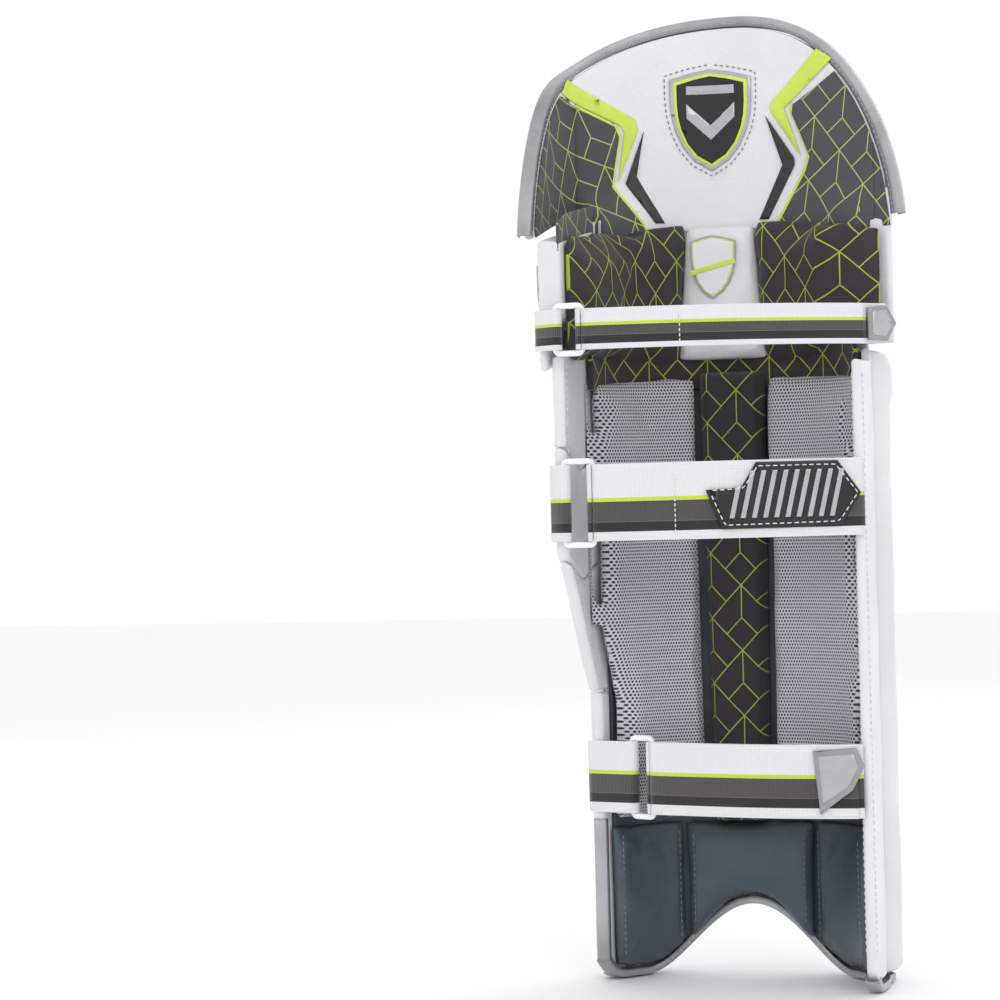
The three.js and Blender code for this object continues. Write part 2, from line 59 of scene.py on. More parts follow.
FLAP_INNER, FLAP_OUTER = 126, 200
FLAP_TOP = 666


def approach(d, reach):
    return 1 - np.exp(-np.maximum(d, 0) / reach)


def smooth(x, low, high):
    t = np.clip((x - low) / (high - low), 0, 1)
    return t * t * (3 - 2 * t)


def lerp(a, b, t):
    return a + (b - a) * t


def shin_turn(u):
    a = np.abs(u)
    wing = np.where(u > 0, 23 * approach(a - FACE_HALF, 18), 35 * approach(a - FACE_HALF, 14))
    return np.sign(u) * (65 * (np.minimum(a, FACE_HALF) / FACE_HALF) ** 1.6 + wing)


def knee_turn(u):
    edge = shin_turn(np.array(-80.0))
    return np.where(u > -80, shin_turn(u), lerp(edge, -17, approach(-80 - u, 7)))


def flap_turn(u):
    a = np.abs(u)
    wing = np.where(u > 0, 62 * approach(a - 112, 14), 0)
    return np.sign(u) * (26 * (1 - np.exp(-((a / 52) ** 1.6))) + wing)


class PlanLine:
    """A line in plan whose heading at distance u is turn(u) degrees."""

    def __init__(self, turn):
        self.u = np.arange(-260, 260.25, 0.5)
        self.turn = np.radians(turn(self.u))
        middle = len(self.u) // 2
        steps = [(f(self.turn[1:]) + f(self.turn[:-1])) / 4 for f in (np.cos, np.sin)]
        walk = [np.concatenate([[0], np.cumsum(s)]) for s in steps]
        self.x, self.y = [w - w[middle] for w in walk]

    def at(self, u, offset, z=None):
        x, y, turn = [np.interp(u, self.u, v) for v in (self.x, self.y, self.turn)]
        return x + offset * np.sin(turn), y - offset * np.cos(turn)

    def unroll(self, x, y):
        """The (u, offset) of points given in plan."""
        sample = slice(None, None, 2)
        far = (x[:, None] - self.x[sample]) ** 2 + (y[:, None] - self.y[sample]) ** 2
        near = far.argmin(1) * 2
        dx, dy, turn = x - self.x[near], y - self.y[near], self.turn[near]
        u = self.u[near] + dx * np.cos(turn) + dy * np.sin(turn)
        return u, dx * np.sin(turn) - dy * np.cos(turn)


class ApronLine:
    """Follows the knee's line low down, and the flap's line higher up and out at both sides."""

    def at(self, u, offset, z=None):
        share = np.maximum(smooth(z, 520, 548), np.maximum(smooth(u, 105, 114), smooth(-u, 92, 106)))
        low, high = knee_line.at(u, offset - 0.6), flap_line.at(u, offset)
        return lerp(low[0], high[0], share), lerp(low[1], high[1], share)


shin_line, knee_line, flap_line = PlanLine(shin_turn), PlanLine(knee_turn), PlanLine(flap_turn)
apron_line = ApronLine()


def knee_seam(i):
    return lambda u: KNEE_SEAMS[i] - KNEE_DROP[i] * (np.minimum(np.abs(u), FACE_HALF) / FACE_HALF) ** 2


def base_line(u):
    arch = np.where(np.abs(u) < 80, 47 * (1 + np.cos(np.pi * u / 80)) / 2, 0)
    rise = np.where(u > 98, 14 * ((u - 98) / 24) ** 2, 0) + np.where(u < -145, 9 * ((-145 - u) / 12) ** 2, 0)
    return arch + rise


def instep_top(u):
    return 124 - 10 * (u / 50.1) ** 2


def flap_outline(u, inset=0.0):
    half = np.where(u > 0, FLAP_OUTER, FLAP_INNER) - inset
    base = np.where(u > 0, 505, 511)
    power = np.where(u > 0, 0.65, 0.56)
    share = np.maximum(1 - (np.abs(u) / half) ** 2.2, 0)
    return base + (FLAP_TOP - base - inset) * share**power


def wing_edge(z):
    return FACE_HALF + np.interp(z, [190, 218, 244, 272, 297], [13, 27, 42, 60, 80])


shin_top = lambda u: knee_seam(0)(u) - 4
flap_bottom = lambda u: knee_seam(3)(u) + 4
base_top = lambda u: base_line(u) + 6.4
fixed = lambda value: (lambda x: value + 0 * x)


# ---- Procedural materials -------------------------------------------------------------------------
class Look:
    """A material built from nodes; every helper returns an output socket."""

    def __init__(self, name, roughness=0.5, metallic=0.0, sheen=0.0, coat=0.0):
        self.material = bpy.data.materials.new(name)
        self.material.use_nodes = True
        self.tree = self.material.node_tree
        self.shader = self.tree.nodes["Principled BSDF"]
        self.shader.inputs["Roughness"].default_value = roughness
        self.shader.inputs["Metallic"].default_value = metallic
        self.shader.inputs["Sheen Weight"].default_value = sheen
        self.shader.inputs["Coat Weight"].default_value = coat
        self.height = None

    def node(self, kind, inputs=(), **values):
        made = self.tree.nodes.new("ShaderNode" + kind)
        for key, value in values.items():
            setattr(made, key, value)
        for key, value in dict(inputs).items():
            self.put(made.inputs[key], value)
        return made

    def put(self, socket, value):
        if isinstance(value, bpy.types.NodeSocket):
            self.tree.links.new(value, socket)
        else:
            socket.default_value = value

    def math(self, operation, a, b=0.0, c=0.0):
        return self.node("Math", {0: a, 1: b, 2: c}, operation=operation).outputs[0]

    def times(self, a, b):
        return self.math("MULTIPLY", a, b)

    def plus(self, a, b):
        return self.math("ADD", a, b)

    def minus(self, a, b):
        return self.math("SUBTRACT", a, b)

    def wave(self, distance, pitch):
        return self.math("SINE", self.times(distance, math.tau / pitch))

    def plan(self):
        """The piece's own (u, z, offset), in millimetres, as three sockets."""
        split = self.node(
            "SeparateXYZ", {0: self.node("Attribute", attribute_name="plan").outputs["Vector"]},
        )
        return split.outputs

    def noise(self, scale, detail=3.0, stretch=(1, 1, 1)):
        where = self.node("TexCoord").outputs["Object"]
        where = self.node("Mapping", {"Vector": where, "Scale": stretch}).outputs[0]
        made = self.node("TexNoise", {"Vector": where, "Scale": scale, "Detail": detail, "Roughness": 0.55})
        return made.outputs["Fac"]

    def cells(self, scale):
        where = self.node("TexCoord").outputs["Object"]
        made = self.node("TexVoronoi", {"Vector": where, "Scale": scale}, feature="DISTANCE_TO_EDGE")
        return made.outputs["Distance"]

    def ramp(self, value, low, high):
        made = self.node("MapRange", {"Value": value, "From Min": low, "From Max": high})
        made.clamp = True
        made.interpolation_type = "SMOOTHSTEP"
        return made.outputs[0]

    def band(self, value, low, high, soft=0.25):
        """1 between low and high, 0 outside, with soft edges."""
        rise = self.ramp(value, low - soft, low + soft)
        fall = self.ramp(value, high - soft, high + soft)
        return self.minus(rise, fall)

    def mix(self, share, a, b):
        made = self.node("Mix", data_type="RGBA")
        self.put(made.inputs[0], share)
        self.put(made.inputs[6], a)
        self.put(made.inputs[7], b)
        return made.outputs[2]

    def color(self, value):
        self.put(self.shader.inputs["Base Color"], value)

    def rough(self, value):
        self.put(self.shader.inputs["Roughness"], value)

    def bump(self, height, strength, distance):
        made = self.node("Bump", {"Height": height, "Strength": strength, "Distance": distance})
        if self.height is not None:
            self.put(made.inputs["Normal"], self.height)
        self.height = made.outputs[0]
        self.put(self.shader.inputs["Normal"], self.height)


def rgb(*values):
    """A linear colour from display values of 0 to 255."""
    return tuple(((v / 255 + 0.055) / 1.055) ** 2.4 if v > 10 else v / 255 / 12.92 for v in values) + (1,)


WHITE, SHADE = rgb(232, 232, 236), rgb(222, 222, 227)
NEON = rgb(214, 236, 60)


def leather(name, clean, worn, grain=900.0, depth=0.00018, roughness=0.42, coat=0.08, metallic=0.0):
    """Coated leather: fine grain cells, pores, soft creases and a little wear in the colour and gloss."""
    look = Look(name, roughness, metallic, coat=coat)
    cells = look.ramp(look.cells(grain), 0.0, 0.25)
    pores = look.noise(grain * 1.7, 2.0)
    cloud = look.noise(14.0, 4.0)
    crease = look.ramp(look.noise(60.0, 5.0, (1, 1, 0.35)), 0.35, 0.75)
    tone = look.mix(look.ramp(cloud, 0.35, 0.7), clean, worn)
    look.color(look.mix(look.times(look.minus(1.0, cells), 0.18), tone, worn))
    look.rough(look.math("MULTIPLY_ADD", cloud, 0.22, roughness - 0.11))
    look.bump(crease, 0.25, 0.0006)
    look.bump(look.math("MULTIPLY_ADD", pores, 0.35, cells), 0.5, depth)
    return look.material


def woven(name, light, dark, pitch):
    """Plain weave over the piece's own plan, thread by thread."""
    look = Look(name, 0.85, sheen=0.25)
    u, z, _ = look.plan()
    across = look.wave(u, pitch)
    up = look.wave(z, pitch)
    weave = look.ramp(look.times(across, up), -0.8, 0.8)
    fuzz = look.noise(1800.0, 2.0)
    look.color(look.mix(look.times(look.plus(weave, fuzz), 0.5), dark, light))
    look.bump(weave, 0.6, 0.0004)
    return look.material


def spacer_mesh(name):
    """Open knitted mesh: staggered round holes 2.7 mm apart between pale threads."""
    look = Look(name, 0.8, sheen=0.3)
    u, z, _ = look.plan()
    pitch, row = 2.7, 2.3
    rows = look.math("DIVIDE", z, row)
    odd = look.times(look.math("MODULO", look.math("FLOOR", rows), 2.0), 0.5)
    column = look.plus(look.math("DIVIDE", u, pitch), look.math("ABSOLUTE", odd))
    du = look.times(look.minus(look.math("FRACT", column), 0.5), pitch)
    dz = look.times(look.minus(look.math("FRACT", rows), 0.5), row)
    far = look.math("SQRT", look.plus(look.times(du, du), look.times(dz, dz)))
    thread = look.ramp(far, 0.62, 0.98)
    fibre = look.noise(2600.0, 3.0)
    pale = look.mix(fibre, rgb(176, 174, 188), rgb(226, 225, 234))
    look.color(look.mix(thread, rgb(48, 47, 60), pale))
    look.rough(look.math("MULTIPLY_ADD", fibre, 0.2, 0.7))
    look.bump(thread, 0.9, 0.0009)
    look.bump(fibre, 0.3, 0.0002)
    return look.material


def lattice(name, ground, line, size, turn=0.0, width=0.9, knit=1.3):
    """Dark knit with a printed lattice of diamonds, each holding a Y of three lines."""
    look = Look(name, 0.8, sheen=0.15)
    u, z, _ = look.plan()
    c, s = math.cos(math.radians(turn)), math.sin(math.radians(turn))
    x = look.minus(look.times(u, c), look.times(z, s))
    y = look.plus(look.times(u, s), look.times(z, c))
    # the lattice's own axes p and q run along the diamonds' sides, with a side length of 1
    scale = 1 / size
    p = look.times(look.plus(x, y), scale)
    q = look.times(look.minus(y, x), scale)
    fp, fq = look.math("FRACT", p), look.math("FRACT", q)
    half = width * scale * 0.75

    def near(value, target):
        return look.math("ABSOLUTE", look.minus(value, target))

    def stroke(distance):
        return look.minus(1.0, look.ramp(distance, half * 0.6, half * 1.4))

    sides = [stroke(look.math("MINIMUM", f, look.minus(1.0, f))) for f in (fp, fq)]
    below = [look.ramp(look.minus(0.5, f), -0.02, 0.02) for f in (fp, fq)]
    arm_a = look.times(stroke(near(fp, 0.5)), below[1])
    arm_b = look.times(stroke(near(fq, 0.5)), below[0])
    above = look.times(look.minus(1.0, below[0]), look.minus(1.0, below[1]))
    stem = look.times(stroke(look.times(near(fp, fq), 0.7)), above)
    print_share = sides[0]
    for part in (sides[1], arm_a, arm_b, stem):
        print_share = look.math("MAXIMUM", print_share, part)
    across = look.wave(u, knit)
    up = look.wave(z, knit * 0.8)
    yarn = look.ramp(look.times(across, up), -0.9, 0.9)
    fuzz = look.noise(1500.0, 3.0)
    deep = tuple(0.45 * v for v in ground[:3]) + (1,)
    cloth = look.mix(look.times(look.plus(yarn, fuzz), 0.55), deep, ground)
    ink = look.times(print_share, look.math("MULTIPLY_ADD", yarn, 0.35, 0.6))
    look.color(look.mix(ink, cloth, line))
    look.rough(look.math("MULTIPLY_ADD", fuzz, 0.2, 0.7))
    look.bump(yarn, 0.5, 0.0003)
    look.bump(print_share, 0.2, 0.0002)
    return look.material


def ribbed_webbing(name, width, neon, grey, black):
    """White webbing with woven stripes across its width; z of the plan is the height on the strap."""
    look = Look(name, 0.75, sheen=0.35)
    u, z, _ = look.plan()
    ribs = look.ramp(look.wave(u, 1.1), -0.7, 0.9)
    cords = look.ramp(look.wave(z, 1.7), -0.9, 0.6)
    edge = look.math("MINIMUM", z, look.minus(float(width), z))
    border = look.minus(1.0, look.ramp(edge, 5.2, 5.8))
    fuzz = look.noise(1700.0, 3.0)
    color = look.mix(look.times(ribs, 0.6), rgb(222, 221, 228), rgb(250, 249, 253))
    color = look.mix(look.times(fuzz, 0.25), color, rgb(214, 213, 222))
    rib_bump = look.mix(border, look.times(ribs, 0.6), cords)
    stripes = (
        (neon, NEON, rgb(178, 205, 40)),
        (grey, rgb(92, 88, 88), rgb(52, 49, 49)),
        (black, rgb(44, 41, 42), rgb(22, 20, 21)),
    )
    for (low, high), light, dark in stripes:
        stripe = look.mix(look.times(look.plus(ribs, fuzz), 0.5), dark, light)
        color = look.mix(look.band(z, low, high, 0.2), color, stripe)
    look.color(color)
    look.bump(rib_bump, 0.55, 0.0004)
    look.bump(fuzz, 0.25, 0.0002)
    return look.material


def moulded(name, light, dark, roughness=0.35, speckle=0.0, metallic=0.0):
    """Injection-moulded plastic: faint flow marks and a fine texture."""
    look = Look(name, roughness, metallic)
    flow = look.noise(35.0, 4.0, (1, 1, 3))
    grit = look.noise(2400.0, 2.0)
    look.color(look.mix(look.math("MULTIPLY_ADD", grit, speckle, look.times(flow, 0.6)), light, dark))
    look.rough(look.math("MULTIPLY_ADD", flow, 0.18, roughness - 0.08))
    look.bump(grit, 0.2, 0.0001)
    return look.material


def thread(name, light, dark):
    look = Look(name, 0.6, sheen=0.3)
    twist = look.ramp(look.noise(2200.0, 2.0, (1, 1, 0.3)), 0.35, 0.65)
    look.color(look.mix(twist, dark, light))
    look.bump(twist, 0.5, 0.0002)
    return look.material


white_leather = leather("white_leather", WHITE, SHADE)
silver_tape = leather(
    "silver_tape", rgb(178, 181, 186), rgb(136, 139, 145), 1400.0, 0.0001, 0.34, 0.25, 0.35,
)
slate = leather("slate_lining", rgb(74, 87, 96), rgb(58, 69, 78), 700.0, 0.0002, 0.44, 0.05)
charcoal = lattice("charcoal_lattice", rgb(88, 92, 95), rgb(205, 216, 110), 44.0, 25.0, 0.7, 0.9)
charcoal_mirror = lattice(
    "charcoal_lattice_mirror", rgb(88, 92, 95), rgb(205, 216, 110), 44.0, -8.0, 0.7, 0.9,
)
neon_leather = leather("neon_leather", rgb(208, 232, 92), rgb(192, 216, 70), 1100.0, 0.0001, 0.38)
black_leather = leather("black_leather", rgb(40, 38, 40), rgb(24, 23, 25), 1100.0, 0.0001, 0.36)
mesh_cloth = spacer_mesh("mesh_cloth")
knee_cloth = lattice("knee_lattice", rgb(58, 50, 56), rgb(184, 204, 56), 45.0, 0.0, 0.7)
strip_cloth = lattice("strip_lattice", rgb(50, 46, 50), rgb(176, 196, 72), 45.0, 0.0, 0.7)
canvas = woven("canvas", rgb(236, 236, 240), rgb(196, 196, 204), 1.2)
ring_white = moulded("ring_white", rgb(250, 250, 252), rgb(232, 232, 237), 0.28)
tab_silver = moulded("tab_silver", rgb(176, 178, 180), rgb(132, 134, 138), 0.4, 0.5, 0.3)
seam_grey = leather("seam_grey", rgb(176, 178, 184), rgb(150, 153, 160), 1400.0, 0.0001, 0.4)
badge_black = moulded("badge_black", rgb(30, 31, 33), rgb(14, 15, 16), 0.25, 0.2)
badge_silver = moulded("badge_silver", rgb(196, 198, 202), rgb(150, 152, 156), 0.25, 0.2, 0.5)
silver_thread = thread("silver_thread", rgb(208, 210, 214), rgb(150, 153, 158))
white_thread = thread("white_thread", rgb(252, 252, 254), rgb(210, 210, 216))
grey_thread = thread("grey_thread", rgb(140, 144, 150), rgb(104, 108, 114))


# ---- Mesh builders --------------------------------------------------------------------------------
def in_frame(points):
    """Points in the pad's own millimetres as metres in the shared frame."""
    moved = np.array(points, float).reshape(-1, 3)
    moved[:, :2] += BOARD_AT
    return moved / 1000


def make(name, points, faces, plan, look, body, stands_for=(), slot=None, fill=None):
    """One closed piece of the object, with its plan coordinates kept for the materials."""
    mesh = bpy.data.meshes.new(name)
    mesh.from_pydata(in_frame(points).tolist(), [], faces)
    mesh.attributes.new("plan", "FLOAT_VECTOR", "POINT").data.foreach_set(
        "vector", np.array(plan, np.float32).reshape(-1)
    )
    mesh.materials.append(look)
    weld = bmesh.new()
    weld.from_mesh(mesh)
    bmesh.ops.remove_doubles(weld, verts=weld.verts, dist=2e-5)
    bmesh.ops.recalc_face_normals(weld, faces=weld.faces)
    weld.to_mesh(mesh)
    weld.free()
    mesh.polygons.foreach_set("use_smooth", [True] * len(mesh.polygons))
    piece = bpy.data.objects.new(name, mesh)
    bpy.context.scene.collection.objects.link(piece)
    if body:
        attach(piece, body)
    if stands_for:
        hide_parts(*stands_for)
    return piece


def closed_grid(front, back):
    """Faces of a closed solid between two point grids of the same size."""
    n, m = front.shape[:2]
    front_at = lambda i, j: i * m + j
    back_at = lambda i, j: n * m + i * m + j
    faces = []
    for i in range(n - 1):
        for j in range(m - 1):
            ring = [(i, j), (i + 1, j), (i + 1, j + 1), (i, j + 1)]
            faces.append([front_at(*q) for q in ring])
            faces.append([back_at(*q) for q in reversed(ring)])
    rim = [(i, 0) for i in range(n)] + [(n - 1, j) for j in range(1, m)]
    rim += [(i, m - 1) for i in range(n - 2, -1, -1)] + [(0, j) for j in range(m - 2, 0, -1)]
    for k, a in enumerate(rim):
        b = rim[(k + 1) % len(rim)]
        faces.append([front_at(*a), back_at(*a), back_at(*b), front_at(*b)])
    return np.concatenate([front.reshape(-1, 3), back.reshape(-1, 3)]), faces


def graded(length, rim, step):
    """Shares of a length, closely spaced within rim of each end."""
    rim = min(rim, length / 2.2)
    ends = rim * (1 - np.cos(np.linspace(0, np.pi / 2, 6)))
    inside = np.linspace(rim, length - rim, max(3, int(length / step)))
    return np.concatenate([ends[:-1], inside, length - ends[:-1][::-1]]) / length


def rounded(distance, radius):
    """0 at an edge and 1 from radius inwards, along a quarter circle."""
    return np.sqrt(np.maximum(1 - (1 - np.clip(distance / radius, 0, 1)) ** 2, 0))


def ripple(u, z, seed, wave=40.0):
    """Gentle waves of about +-1, the same each run."""
    draw = np.random.default_rng(seed)
    total = 0
    for _ in range(5):
        angle, phase = draw.uniform(0, math.tau, 2)
        pitch = wave * draw.uniform(0.6, 1.6)
        total = total + np.sin((u * math.cos(angle) + z * math.sin(angle)) * math.tau / pitch + phase)
    return total / 2.5


def dome(s, t):
    """1 in the middle of a face and 0 at its edges."""
    return np.sin(np.pi * s) * np.sin(np.pi * t)


def rumpled(height, seed, wave, depth=0.3):
    """A nearly flat face with gentle ripples."""
    return lambda u, z, s, t: height + depth * ripple(u, z, seed, wave)


def as_field(value):
    return value if callable(value) else (lambda u, z, s, t: value + 0 * u)


def as_edge(value):
    return value if callable(value) else fixed(value)


def panel_grid(left, right, low, high, s, t):
    left, right, low, high = map(as_edge, (left, right, low, high))
    s, t = np.meshgrid(s, t, indexing="ij")
    z = lerp(low(0 * s), high(0 * s), t)
    for _ in range(8):
        u = lerp(left(z), right(z), s)
        z = lerp(low(u), high(u), t)
    return u, z, s, t


def panel(name, line, ends, heights, outer, inner, look, body, rim=3.0, mid=None, step=5.0, **extra):
    """A soft sheet or pad between two offsets, over ends (left, right) and heights (low, high)."""
    rims = rim if isinstance(rim, tuple) else (rim, rim)
    u, z, _, _ = panel_grid(*ends, *heights, np.array([0, 0.5, 1]), np.array([0, 0.5, 1]))
    width, height = np.ptp(u[:, 1]), np.ptp(z[1, :])
    u, z, s, t = panel_grid(*ends, *heights, graded(width, rims[0], step), graded(height, rims[1], step))
    outer, inner = as_field(outer)(u, z, s, t), as_field(inner)(u, z, s, t)
    middle = (outer + inner) / 2 if mid is None else mid
    wide = u[-1:, :] - u[:1, :]
    tall = z[:, -1:] - z[:, :1]
    edge = rounded(np.minimum(s, 1 - s) * wide, rims[0]) * rounded(np.minimum(t, 1 - t) * tall, rims[1])
    grids = []
    for face in (outer, inner):
        offset = middle + (face - middle) * edge
        x, y = line.at(u, offset, z)
        grids.append((np.stack([x, y, z], -1), np.stack([u, z, offset], -1)))
    points, faces = closed_grid(grids[0][0], grids[1][0])
    plan = np.concatenate([grids[0][1].reshape(-1, 3), grids[1][1].reshape(-1, 3)])
    return make(name, points, faces, plan, look, body, **extra)


CLOTH_PRESSURE, CLOTH_STEPS, BOARD_FACE = 4.0, 20, -4.1


def swell(piece, line, voxel, cap):
    """Blows the piece up as cloth under pressure, keeps it off its board, and gives it its plan again."""
    remesh = piece.modifiers.new("remesh", "REMESH")
    remesh.mode, remesh.voxel_size = "VOXEL", voxel
    settle(piece)
    rest = vertex_array(piece.data)
    cloth = piece.modifiers.new("cloth", "CLOTH")
    cloth.settings.use_pressure = True
    cloth.settings.uniform_pressure_force = CLOTH_PRESSURE
    cloth.settings.effector_weights.gravity = 0
    for step in range(CLOTH_STEPS):
        bpy.context.scene.frame_set(step + 1)
    graph = bpy.context.evaluated_depsgraph_get()
    moved = vertex_array(piece.evaluated_get(graph).data) - rest
    piece.modifiers.remove(cloth)
    bpy.context.scene.frame_set(1)
    far = np.maximum(np.linalg.norm(moved, axis=1, keepdims=True), 1e-9)
    piece.data.vertices.foreach_set("co", (rest + moved * np.minimum(1, cap / far)).ravel())
    piece.modifiers.new("subdivision", "SUBSURF").levels = 1
    settle(piece)
    piece.data.polygons.foreach_set("use_smooth", [True] * len(piece.data.polygons))
    points = vertex_array(piece.data) * 1000
    points[:, :2] -= BOARD_AT
    u, offset = line.unroll(points[:, 0], points[:, 1])
    offset = np.minimum(offset, BOARD_FACE)
    x, y = line.at(u, offset)
    points = np.stack([x, y, points[:, 2]], -1)
    piece.data.vertices.foreach_set("co", in_frame(points).ravel())
    if "plan" not in piece.data.attributes:
        piece.data.attributes.new("plan", "FLOAT_VECTOR", "POINT")
    plan = np.stack([u, points[:, 2], offset], -1).astype(np.float32)
    piece.data.attributes["plan"].data.foreach_set("vector", plan.ravel())
    piece.data.update()
    return piece


def vertex_array(mesh):
    points = np.zeros(len(mesh.vertices) * 3)
    mesh.vertices.foreach_get("co", points)
    return points.reshape(-1, 3)


def settle(piece):
    """Applies the piece's modifiers to its mesh."""
    graph = bpy.context.evaluated_depsgraph_get()
    mesh = bpy.data.meshes.new_from_object(piece.evaluated_get(graph))
    piece.modifiers.clear()
    piece.data = mesh


def stitches(name, rows, look, body, length=3.2, gap=1.5, thick=0.9, slot=None):
    """Rows of short raised threads; each row is (line, [(u, z), ...], offset)."""
    points, faces = [], []
    for line, path, offset in rows:
        path = np.array(path, float)
        walked = np.concatenate([[0], np.cumsum(np.hypot(*np.diff(path, axis=0).T))])
        count = int(walked[-1] // (length + gap))
        for k in range(count):
            begin = (walked[-1] - count * (length + gap)) / 2 + k * (length + gap)
            ends = [
                np.array([np.interp(begin + d, walked, path[:, a]) for a in (0, 1)])
                for d in (0, length)
            ]
            solid = []
            for share, swell in ((0, 0.3), (0.2, 0.9), (0.8, 0.9), (1, 0.3)):
                u, z = lerp(*ends, share)
                along = (ends[1] - ends[0]) / length
                side = np.array([-along[1], along[0]]) * thick / 2 * swell
                rise = thick / 2 * swell
                high = offset + math.copysign(rise + 0.05, offset)
                corners = ((side[0], side[1], 0), (0, 0, rise), (-side[0], -side[1], 0), (0, 0, -rise))
                for du, dz, do in corners:
                    x, y = line.at(u + du, high + do, z + dz)
                    solid.append((x, y, z + dz))
            first = len(points)
            points += solid
            for ring in range(3):
                for q in range(4):
                    a, b = first + ring * 4 + q, first + ring * 4 + (q + 1) % 4
                    faces.append([a, b, b + 4, a + 4])
            faces += [[first + 3, first + 2, first + 1, first], [first + 12 + q for q in range(4)]]
    plan = np.array([(p[0], p[2], 0) for p in points])
    return make(name, points, faces, plan, look, body, slot=slot)


def applique(name, line, outline, low, high, look, body, grid=(6, 12), bevel=0.4, **extra):
    """A flat cut shape, given by its (u, z) corners, laid on the line between two offsets."""
    area = sum(a[0] * b[1] - b[0] * a[1] for a, b in zip(outline, outline[1:] + outline[:1]))
    if area < 0:
        outline = outline[::-1]
    sheet = bmesh.new()
    corners = [sheet.verts.new((u, z, 0)) for u, z in outline]
    for triangle in tessellate_polygon([[v.co for v in corners]]):
        a, b, c = [corners[k] for k in triangle]
        turns_left = (b.co - a.co).cross(c.co - a.co).z > 0
        sheet.faces.new((a, b, c) if turns_left else (a, c, b))
    for axis in (0, 1):
        at = [p[axis] for p in outline]
        for cut in np.arange(min(at) + grid[axis] / 2, max(at), grid[axis]):
            normal = [0, 0, 0]
            normal[axis] = 1
            where = [0, 0, 0]
            where[axis] = float(cut)
            geometry = sheet.verts[:] + sheet.edges[:] + sheet.faces[:]
            bmesh.ops.bisect_plane(sheet, geom=geometry, plane_co=where, plane_no=normal, dist=1e-4)
    bmesh.ops.dissolve_degenerate(sheet, edges=sheet.edges[:], dist=1e-3)
    rim = [e for e in sheet.edges if e.is_boundary]
    sheet.verts.index_update()
    top = [v.co.copy() for v in sheet.verts]
    count = len(top)
    inwards = {}
    for e in rim:
        (loop,) = e.link_loops
        a, b = loop.vert.co, loop.link_loop_next.vert.co
        out = Vector((b.y - a.y, a.x - b.x, 0)).normalized()
        for v in e.verts:
            inwards.setdefault(v.index, Vector((0, 0, 0)))
            inwards[v.index] -= out
    thick = high - low
    points, plan, faces = [], [], []
    rows = ((0, 0.0), (thick - math.copysign(bevel, thick), 0.0), (thick, bevel))
    for rise, inset in rows:
        for k, co in enumerate(top):
            u, z = co.x, co.y
            if k in inwards and inset:
                push = inwards[k].normalized() * inset
                u, z = u + push.x, z + push.y
            x, y = line.at(u, low + rise, z)
            points.append((x, y, z))
            plan.append((u, z, low + rise))
    for f in sheet.faces:
        corners = [v.index for v in f.verts]
        faces.append(list(reversed(corners)))
        faces.append([c + 2 * count for c in corners])
    for e in rim:
        (loop,) = e.link_loops
        a, b = loop.vert.index, loop.link_loop_next.vert.index
        for level in (0, count):
            faces.append([a + level, b + level, b + level + count, a + level + count])
    sheet.free()
    return make(name, points, faces, plan, look, body, **extra)


def strap_mesh(name, path, width_low, width_high, thick, look, body, **extra):
    """Flat webbing on edge along a plan path, with its plan as (distance, height on the strap, side)."""
    path = np.array(path, float)
    tangent = np.gradient(path, axis=0)
    tangent /= np.hypot(*tangent.T)[:, None]
    normal = np.stack([-tangent[:, 1], tangent[:, 0]], -1)
    walked = np.concatenate([[0], np.cumsum(np.hypot(*np.diff(path, axis=0).T))])
    heights = lerp(width_low, width_high, graded(width_high - width_low, 0.7, 3.0))
    grids, plans = [], []
    for side in (1, -1):
        edge = rounded(np.minimum(heights - width_low, width_high - heights), 0.7)
        half = side * thick / 2 * (0.25 + 0.75 * edge)
        xy = path[:, None, :] + normal[:, None, :] * half[None, :, None]
        z = np.broadcast_to(heights, xy.shape[:2])
        grids.append(np.concatenate([xy, z[..., None]], -1))
        run = np.broadcast_to(walked[:, None], xy.shape[:2])
        plans.append(np.stack([run, z - width_low, 0 * z + side], -1).reshape(-1, 3))
    points, faces = closed_grid(*grids)
    return make(name, points, faces, np.concatenate(plans), look, body, **extra)


# ---- Front of the shin ----------------------------------------------------------------------------
def roll_crown(base, valley, crown, seed, knuckle):
    """Outer face of an upright roll: crowned across, a knuckle near one end, and soft ripples."""

    def outer(u, z, s, t):
        across = np.sqrt(np.maximum(1 - (2 * s - 1) ** 2, 0)) ** 0.9
        swell = 1 + knuckle(u, z)
        round_top = (crown - valley) * across * swell + (valley - base) * (swell - 1)
        return valley + round_top + 0.35 * ripple(u, z, seed, 55)

    return outer


def bump_between(low, high, soft=5.0):
    return lambda d: smooth(d, low - soft, low + soft) - smooth(d, high - soft, high + soft)


